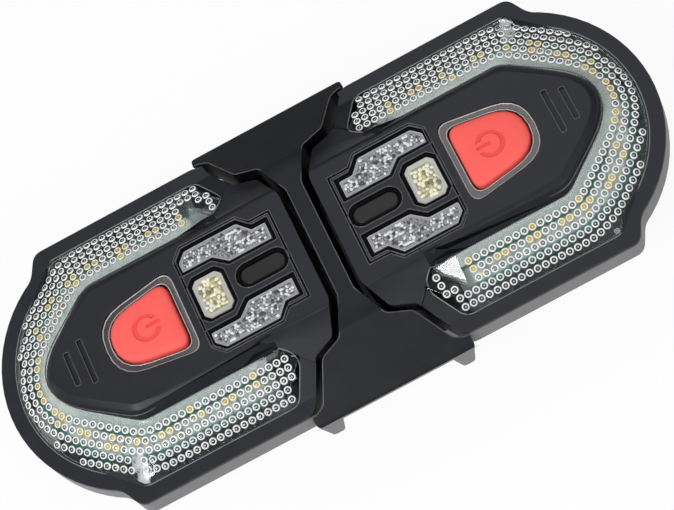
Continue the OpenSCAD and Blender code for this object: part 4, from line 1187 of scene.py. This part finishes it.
# The domes' finishes, picked by chance, are painted glints: white, grey and dark ones side by side
SIDE_KINDS = [frost, sparkle_dark, sparkle, sparkle_grey, frost, sparkle_dark]
STATUS_KINDS = [frost_warm, sparkle_olive, sparkle_warm, sparkle_gold, sparkle, sparkle_olive]
side_lights = window("right_side_windows", "side_windows", [side_window, other_window],
                     margin=0.45, pitch=0.58, kinds=SIDE_KINDS, shares=[4, 4, 2, 1])
pair(side_lights, "side_lights", None, "light", "frosted_plastic", "side_windows")
status_light = window("right_status_window", "status_window", [octagon],
                      margin=0.8, pitch=0.8, kinds=STATUS_KINDS, shares=[7, 3, 1, 1])
pair(status_light, "status_light", None, "light", "frosted_plastic", "status_window")

RECEIVER_TOP = 5.6
receiver = node_copy("right_receiver_window", "receiver")
ease(receiver, width=0.35, steps=3, sharp=40, where=lambda a, b: min(a.z, b.z) > RECEIVER_TOP)
smooth(receiver)
pair(receiver, "receiver_cap", [pad_dark], "light", "dark_plastic", "receiver_window")


# Button: a domed cap with a debossed power symbol, in a smoked bezel

BUTTON_X = 34.95
# The foot stops just short of the switch when the button is pressed home
FOOT_LIFT = 0.05
# The dome: share of the cap's width, and level
DOME_FROM = 5.9
DOME_STEPS = [(0.985, 6.2), (0.955, 6.42), (0.9, 6.58), (0.82, 6.7), (0.66, 6.8), (0.4, 6.87), (0.15, 6.9)]
SYMBOL_FLOOR, SYMBOL_REACH, SYMBOL_SIDES = 6.62, 3.1, 48
SYMBOL_SLACK, FACING_UP = 0.02, 0.9
SYMBOL_OUT = [(2.6, 0), (2.68, 0.1), (2.78, 0.22), (3.0, 0.45)]
SYMBOL_IN = [(2.0, -0.1), (1.92, 0.1), (1.82, 0.22), (1.6, 0.5)]


def power_symbol():
    """A ring with a gap and a bar through it, as a cutter with sloping walls."""
    symbol = turned("symbol", SYMBOL_OUT, SYMBOL_SIDES)
    hole = turned("symbol_hole", SYMBOL_IN, SYMBOL_SIDES)
    gap = block("symbol_gap", (2.6, 2.0, 2), (-2.4, 0, 0.5))
    bar = block("symbol_bar", (2.7, 0.66, 1.2), (-1.35, 0, 0.6))
    cut(symbol, hole)
    cut(symbol, gap)
    cut(symbol, bar, "UNION")
    symbol.data.transform(Matrix.Translation(place(BUTTON_X, 0, SYMBOL_FLOOR)))
    return symbol


def make_button():
    button = node_copy("right_button", "button")
    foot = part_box("right_button")[0].z + FOOT_LIFT * MM
    for v in button.data.vertices:
        v.co.z = max(v.co.z, foot)
    hold(button)
    edit("FACE")
    bpy.ops.mesh.select_all(action="SELECT")
    bpy.ops.mesh.bisect(plane_co=place(0, 0, DOME_FROM), plane_no=(0, 0, 1), clear_outer=True, use_fill=True)
    done()
    pick_faces(button, lambda *c: at_level(DOME_FROM, *c))
    share, level = 1.0, DOME_FROM
    for next_share, next_level in DOME_STEPS:
        raise_face(next_level - level, next_share / share, place(BUTTON_X, 0, next_level))
        share, level = next_share, next_level
    done()
    cut(button, power_symbol())
    smooth(button, angle=32)
    button.data.materials.clear()
    coat(button, red, red_painted_shade)
    # The symbol's sunk floor takes a darker red: painted shade in the groove
    for p in button.data.polygons:
        c = spot(p.center)
        sunk = abs(c.z - SYMBOL_FLOOR) < SYMBOL_SLACK and math.hypot(c.x - BUTTON_X, c.y) < SYMBOL_REACH
        p.material_index = 1 if sunk and p.normal.z > FACING_UP else 0
    pair(button, "button_cap", None, "button", "red_silicone", "button")


make_button()

# Bezel: its corners' runs, and its two pale lines, painted highlights, by their gap from the button and
# radius
BEZEL_HALF = [(28.9, 6.9), (42.1, 4.8)]
BEZEL_RUNS = [2.6, 5.6, 5.6, 2.6]
BEZEL_LINES = [(1.42, 0.14), (0.42, 0.1)]
BEZEL_LINE_H, BEZEL_TOP = 5.55, 5.2
bezel = node_copy("right_button_bezel", "bezel")
ease(bezel, width=0.32, steps=3, sharp=40, where=lambda a, b: min(a.z, b.z) > BEZEL_TOP)
smooth(bezel)
coat(bezel, smoke)
for gap, r in BEZEL_LINES:
    path = rounded(grown(mirrored(BEZEL_HALF), gap), BEZEL_RUNS)
    joined(bezel, lip(path, BEZEL_LINE_H, r, painted_rim_highlight))
pair(bezel, "bezel_ring", None, "light", "smoked_plastic", "button_bezel")


# Rear case and the pieces behind

BACK_LEVEL, BACK_FEATURES, LEVEL_SLACK = -6, -5.9, 0.01


def back_rim(a, b):
    return at_level(BACK_LEVEL, a, b) and on(rim, a, b)


def back_feature(a, b):
    return max(a.z, b.z) < BACK_FEATURES and abs(a.z - b.z) < LEVEL_SLACK


rear = node_copy("right_rear_case", "rear_case_shell", 0.07)
ease(rear, width=0.7, steps=3, sharp=40, where=back_rim)
ease(rear, width=0.15, steps=2, sharp=40, where=back_feature)
smooth(rear)
pair(rear, "rear_shell", [grey], "light", "grey_plastic", "rear_case")

# Ribs for the finger on the port cover
RIBS, RIB_INSET, RIB_STEP, RIB_HALF_L, RIB_SINK, RIB_R = 4, 1.4, 0.9, 2.6, 0.08, 0.22
flap = node_copy("right_port_cover", "flap")
ease(flap, width=0.18, steps=2, sharp=40)
smooth(flap)
coat(flap, rubber)
flap_low, flap_high = (spot(c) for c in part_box("right_port_cover"))
for k in range(RIBS):
    x = flap_high.x - RIB_INSET - RIB_STEP * k
    rib = [(x, -RIB_HALF_L), (x, RIB_HALF_L)]
    joined(flap, lip(rib, flap_low.z + RIB_SINK, RIB_R, rubber, closed=False))
pair(flap, "port_flap", [rubber], "port_cover", "black_rubber", "port_cover")


# Screws: a pan head, from its rim to the shank, and threads cut as rings

HEAD = [(1.55, 0), (1.82, 0.14), (1.89, 0.4), (1.89, 1.3), (1.8, 1.4), (0.95, 1.42)]
SHANK_R, THREAD_DEPTH, THREAD_FROM, THREAD_END, THREAD_PITCH, THREAD_W = 0.95, 0.16, 1.5, 0.6, 0.5, 0.2
TIP_R, SCREW_SIDES = 0.5, 28
RECESS_L, RECESS_W, RECESS_H, RECESS_Z = 2.2, 0.5, 1.2, 0.1


def screw(tip):
    """A pan-head screw with a cross recess, head down, with its tip at a level above the head's face."""
    levels = [z + d for z in np.arange(THREAD_FROM, tip - THREAD_END, THREAD_PITCH) for d in (0, THREAD_W)]
    rings = [(SHANK_R - THREAD_DEPTH * (i % 2), z) for i, z in enumerate(levels)]
    obj = turned("screw", [*HEAD, *rings, (TIP_R, tip)], SCREW_SIDES)
    arm = block("recess", (RECESS_L, RECESS_W, RECESS_H), (0, 0, RECESS_Z))
    cut(arm, block("recess_b", (RECESS_W, RECESS_L, RECESS_H), (0, 0, RECESS_Z)), "UNION")
    cut(obj, arm)
    return obj


def screws_at(piece, node_name, places):
    """Screws the length of a CAD node's, at places given by x, y and turn."""
    low, high = (spot(c).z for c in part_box(node_name))
    made = strewn(piece, screw(high - low), stood(places, low))
    soften(made, angle=35)
    return made


POSTS = [(8.6, 13.6, 0.4), (8.6, -13.6, 1.1), (45.5, 9.4, 1.8), (45.5, -9.4, 2.5)]
case_screws = screws_at("case_screws", "right_case_screws", POSTS)
pair(case_screws, "case_fixings", [steel], "light", "steel", "case_screws")


# Chips on the board

LED = (2.8, 2.2, 0.8)
BOARD_TOP = -1.6
CHIP_EASE, CHIP_RIM, GLOW_RIM, GLOW_SINK = 0.1, 0.65, 0.1, 0.12


def package(glow):
    """A chip with a bevelled body and a sunk window of its own colour."""
    obj = block("chip", LED, (0, 0, LED[2] / 2))
    coat(obj, cream, glow)
    hold(obj)
    edit("EDGE")
    bpy.ops.mesh.select_all(action="SELECT")
    bpy.ops.mesh.bevel(offset=CHIP_EASE * MM, segments=1, affect="EDGES")
    done()
    top = max(obj.data.polygons, key=lambda p: p.center.z)
    select(obj.data, obj.data.polygons, [top.index])
    edit("FACE")
    bpy.ops.mesh.inset(thickness=CHIP_RIM * MM)
    bpy.ops.mesh.inset(thickness=GLOW_RIM * MM, depth=-GLOW_SINK * MM)
    done()
    for p in obj.data.polygons:
        if p.select:
            p.material_index = 1
    return obj


def chips(kind, glow, places):
    """Chips of one kind on the board, at places given by x, y and turn."""
    return strewn(kind, package(glow), stood(places, BOARD_TOP))


# Chips: two under each side window's end by the bracket, one under its far end, and four under the octagon
ROW_X, ROW_L, ROW_Y, ROW_PARTS = 7.6, 8.8, 6.1, 4
LONE_X, LONE_Y = 20.7, 8.5
STATUS_X, STATUS_DX, STATUS_DY = 21.7, 1.5, 2.025
centre_places = [(ROW_X + ROW_L * k / ROW_PARTS, s * ROW_Y, 0) for s in (1, -1) for k in (1, 3)]
centre_places += [(LONE_X, s * LONE_Y, 0) for s in (1, -1)]
status_places = [(STATUS_X + STATUS_DX * sx, STATUS_DY * sy, math.pi / 2) for sx in (1, -1) for sy in (1, -1)]
amber_chips = chips("amber_leds", amber, amber_places)
pair(amber_chips, "amber_chips", None, "light", "amber_chip", "amber_leds")
centre_chips = chips("centre_leds", white_glow, centre_places)
pair(centre_chips, "centre_chips", None, "light", "white_chip", "centre_leds")
status_chips = chips("status_leds", yellow_glow, status_places)
pair(status_chips, "status_chips", None, "light", "yellow_chip", "status_leds")


# Bracket: a cover whose flanges fold down from its strip, and the grey base under it

FOLD_Y, STRIP_H, FLANGE_END_Y, FLANGE_DROP = 17, 5.5, 29.6, 6.5
FOLD_R, FOLD_SLACK, COVER_EASE, TOP_SLACK, WALL_UP = 2.4, 0.05, 0.14, 0.4, 0.15
DOCK_GAP, EAR_GAP, EAR_X, EAR_IN, DOCK_STEPS = 1.5, 0.5, 15.8, 0.3, 4
GLINT_IN, GLINT_SINK, GLINT_R = 0.1, 0.03, 0.1


def cover_top(y):
    return STRIP_H - max(0.0, abs(y) - FOLD_Y) * FLANGE_DROP / (FLANGE_END_Y - FOLD_Y)


def on_fold(*points):
    return at_level(STRIP_H, *points) and all(abs(abs(p.y) - FOLD_Y) < FOLD_SLACK for p in points)


def on_top(*points):
    return all(abs(p.z - cover_top(p.y)) < TOP_SLACK for p in points)


def dock_line():
    """The edge of the cover that follows one docked light, from ear to ear."""
    dock_side = [(x, -y) for x, y in grown(rim_raw, DOCK_GAP)[:DOCK_CORNERS]]
    flare = (Vector(DOCK_HALF[3]) - Vector(DOCK_HALF[2])).normalized()
    flare_end = Vector(dock_side[2]) + flare * (SIDE_Y - EAR_GAP - dock_side[2][1]) / flare.y
    line = mirrored([*dock_side, tuple(flare_end), (EAR_X - EAR_IN, SIDE_Y + EAR_GAP)])
    half = len(line) // 2
    return rounded(line[half:] + line[:half], DOCK_RUN, DOCK_STEPS)[1:-1]


def make_cover():
    cover = node_copy("bracket_cover", "bracket_top", 0.15)
    ease(cover, width=FOLD_R, steps=6, sharp=15, where=on_fold)
    ease(cover, width=COVER_EASE, steps=2, sharp=40, where=on_top)
    contained(cover, "bracket_cover")
    smooth(cover)
    coat(cover, black_soft, painted_shade)
    # Walls that face the gaps take painted shade
    for p in cover.data.polygons:
        p.material_index = 1 if p.normal.z < WALL_UP else 0
    # Pale lines along the cover's docking edges: painted glints
    for turn in (1, -1):
        line = [(turn * (x - GLINT_IN), turn * y) for x, y in dock_line()]
        joined(cover, lip(line, lambda x, y: cover_top(y) - GLINT_SINK, GLINT_R, highlight_line, closed=False))
    rides(cover, None, "bracket", "black_plastic", "bracket_cover")


make_cover()

base = node_copy("bracket_base", "bracket_under", 0.15)
ease(base, width=0.1, steps=2, sharp=40)
contained(base, "bracket_base")
smooth(base)
rides(base, [grey], "bracket", "grey_plastic", "bracket_base")

pad = node_copy("saddle_pad", "saddle_lining")
ease(pad, width=0.3, steps=2, sharp=40)
smooth(pad)
rides(pad, [rubber], "bracket", "black_rubber", "saddle_pad")

COVER_SCREW_Y, COVER_SCREW_TURN = 21.5, 0.5
cover_posts = [(0, s * COVER_SCREW_Y, COVER_SCREW_TURN + s) for s in (1, -1)]
fixings = screws_at("cover_fixings", "bracket_screws", cover_posts)
rides(fixings, [steel], "bracket", "steel", "bracket_screws")

# Nodes that keep their own shape
PLAIN = {
    "case_seal": rubber, "circuit_board": board, "control_chips": chip_black, "tact_switch": chip_black,
    "switch_plunger": plunger_white, "battery": foil, "usb_port": steel,
}
for side in ("left", "right"):
    for name, mat in PLAIN.items():
        kept_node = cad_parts[f"{side}_{name}"]
        kept_node.data.materials.clear()
        coat(kept_node, mat)


# Floor, in metres: white to the camera and in reflections, and grey to the lamps

FLOOR_SIZE, FLOOR_DROP = 8, 0.0002
FLOOR_TONE, FLOOR_ROUGH, FLOOR_SPEC, FLOOR_GLOW = 0.86, 0.8, 0.1, 0.93


def floor_finish():
    mat = bpy.data.materials.new("pale_floor")
    mat.use_nodes = True
    tree = mat.node_tree
    ground = tree.nodes["Principled BSDF"]
    ground.inputs["Base Color"].default_value = (FLOOR_TONE, FLOOR_TONE, FLOOR_TONE, 1)
    ground.inputs["Roughness"].default_value = FLOOR_ROUGH
    ground.inputs["Specular IOR Level"].default_value = FLOOR_SPEC
    path = node(tree, "ShaderNodeLightPath").outputs
    bounced = math_node(tree, "MAXIMUM", path["Is Glossy Ray"], path["Is Transmission Ray"])
    seen = math_node(tree, "MAXIMUM", path["Is Camera Ray"], bounced)
    glow = node(tree, "ShaderNodeEmission", Color=(1, 1, 1, 1), Strength=1.0)
    share = math_node(tree, "MULTIPLY", seen, FLOOR_GLOW)
    mix = node(tree, "ShaderNodeMixShader", i0=share, i1=ground.outputs[0], i2=glow.outputs[0])
    tree.links.new(mix.outputs[0], tree.nodes["Material Output"].inputs["Surface"])
    return mat


floor = primitive("floor", bpy.ops.mesh.primitive_plane_add, size=FLOOR_SIZE,
                  location=(0, 0, cad_box[0].z - FLOOR_DROP))
coat(floor, floor_finish())


# Light: a sky that brightens upwards and away, and four round lamps by place and size in metres, and watts

SKY_COLOUR = (0.96, 0.975, 1, 1)
SKY_TILT, SKY_FROM, SKY_TO, SKY_DARK, SKY_BRIGHT = 0.25, 0.4, 1.05, 0.03, 0.5
LAMPS = {
    "key": ((-0.4, -0.4, 0.75), 0.35, 5.7),
    "fill": ((0.45, -0.6, 0.6), 0.4, 2.2),
    "side": ((-0.75, 0.1, 0.22), 0.3, 0.6),
    "top": ((0.05, 0.35, 0.8), 0.4, 0.85),
}
middle = Vector((0, 0, RIM_Z * MM))

world = bpy.data.worlds.new("studio")
bpy.context.scene.world = world
world.use_nodes = True
tree = world.node_tree
sky = tree.nodes["Background"]
sky.inputs["Color"].default_value = SKY_COLOUR
ray = node(tree, "ShaderNodeSeparateXYZ", i0=node(tree, "ShaderNodeTexCoord").outputs["Generated"])
height = math_node(tree, "ADD", ray.outputs[2], math_node(tree, "MULTIPLY", ray.outputs[1], SKY_TILT))
tree.links.new(map_range(tree, height, SKY_FROM, SKY_TO, SKY_DARK, SKY_BRIGHT), sky.inputs["Strength"])

for name, (at, size, power) in LAMPS.items():
    data = bpy.data.lights.new(name, "AREA")
    data.shape, data.size, data.energy = "DISK", size, power
    lamp = linked(name, data)
    lamp.location = at
    lamp.rotation_mode = "QUATERNION"
    lamp.rotation_quaternion = (middle - Vector(at)).to_track_quat("-Z", "Y")


# Camera, fitted to the photograph: its axes, and its place from the middle along them in metres

BACK = Vector((0.07055, -0.41669, 0.90631))
RIGHT = Vector((0.87925, -0.40313, -0.25380))
UP = Vector((0.47111, 0.81478, 0.33794))
AWAY, ASIDE, DOWN = 0.47087, 0.00177, 0.00122
shot = bpy.data.cameras.new("shot")
shot.sensor_width, shot.lens = 36, 138.87
shot.clip_start, shot.clip_end = 0.01, 50
camera = linked("shot", shot)
eye = middle + BACK * AWAY + RIGHT * ASIDE - UP * DOWN
rows = [(RIGHT[i], UP[i], BACK[i], eye[i]) for i in range(3)]
camera.matrix_world = Matrix((*rows, (0, 0, 0, 1)))
bpy.context.scene.camera = camera
bpy.context.scene.view_settings.view_transform = "Standard"
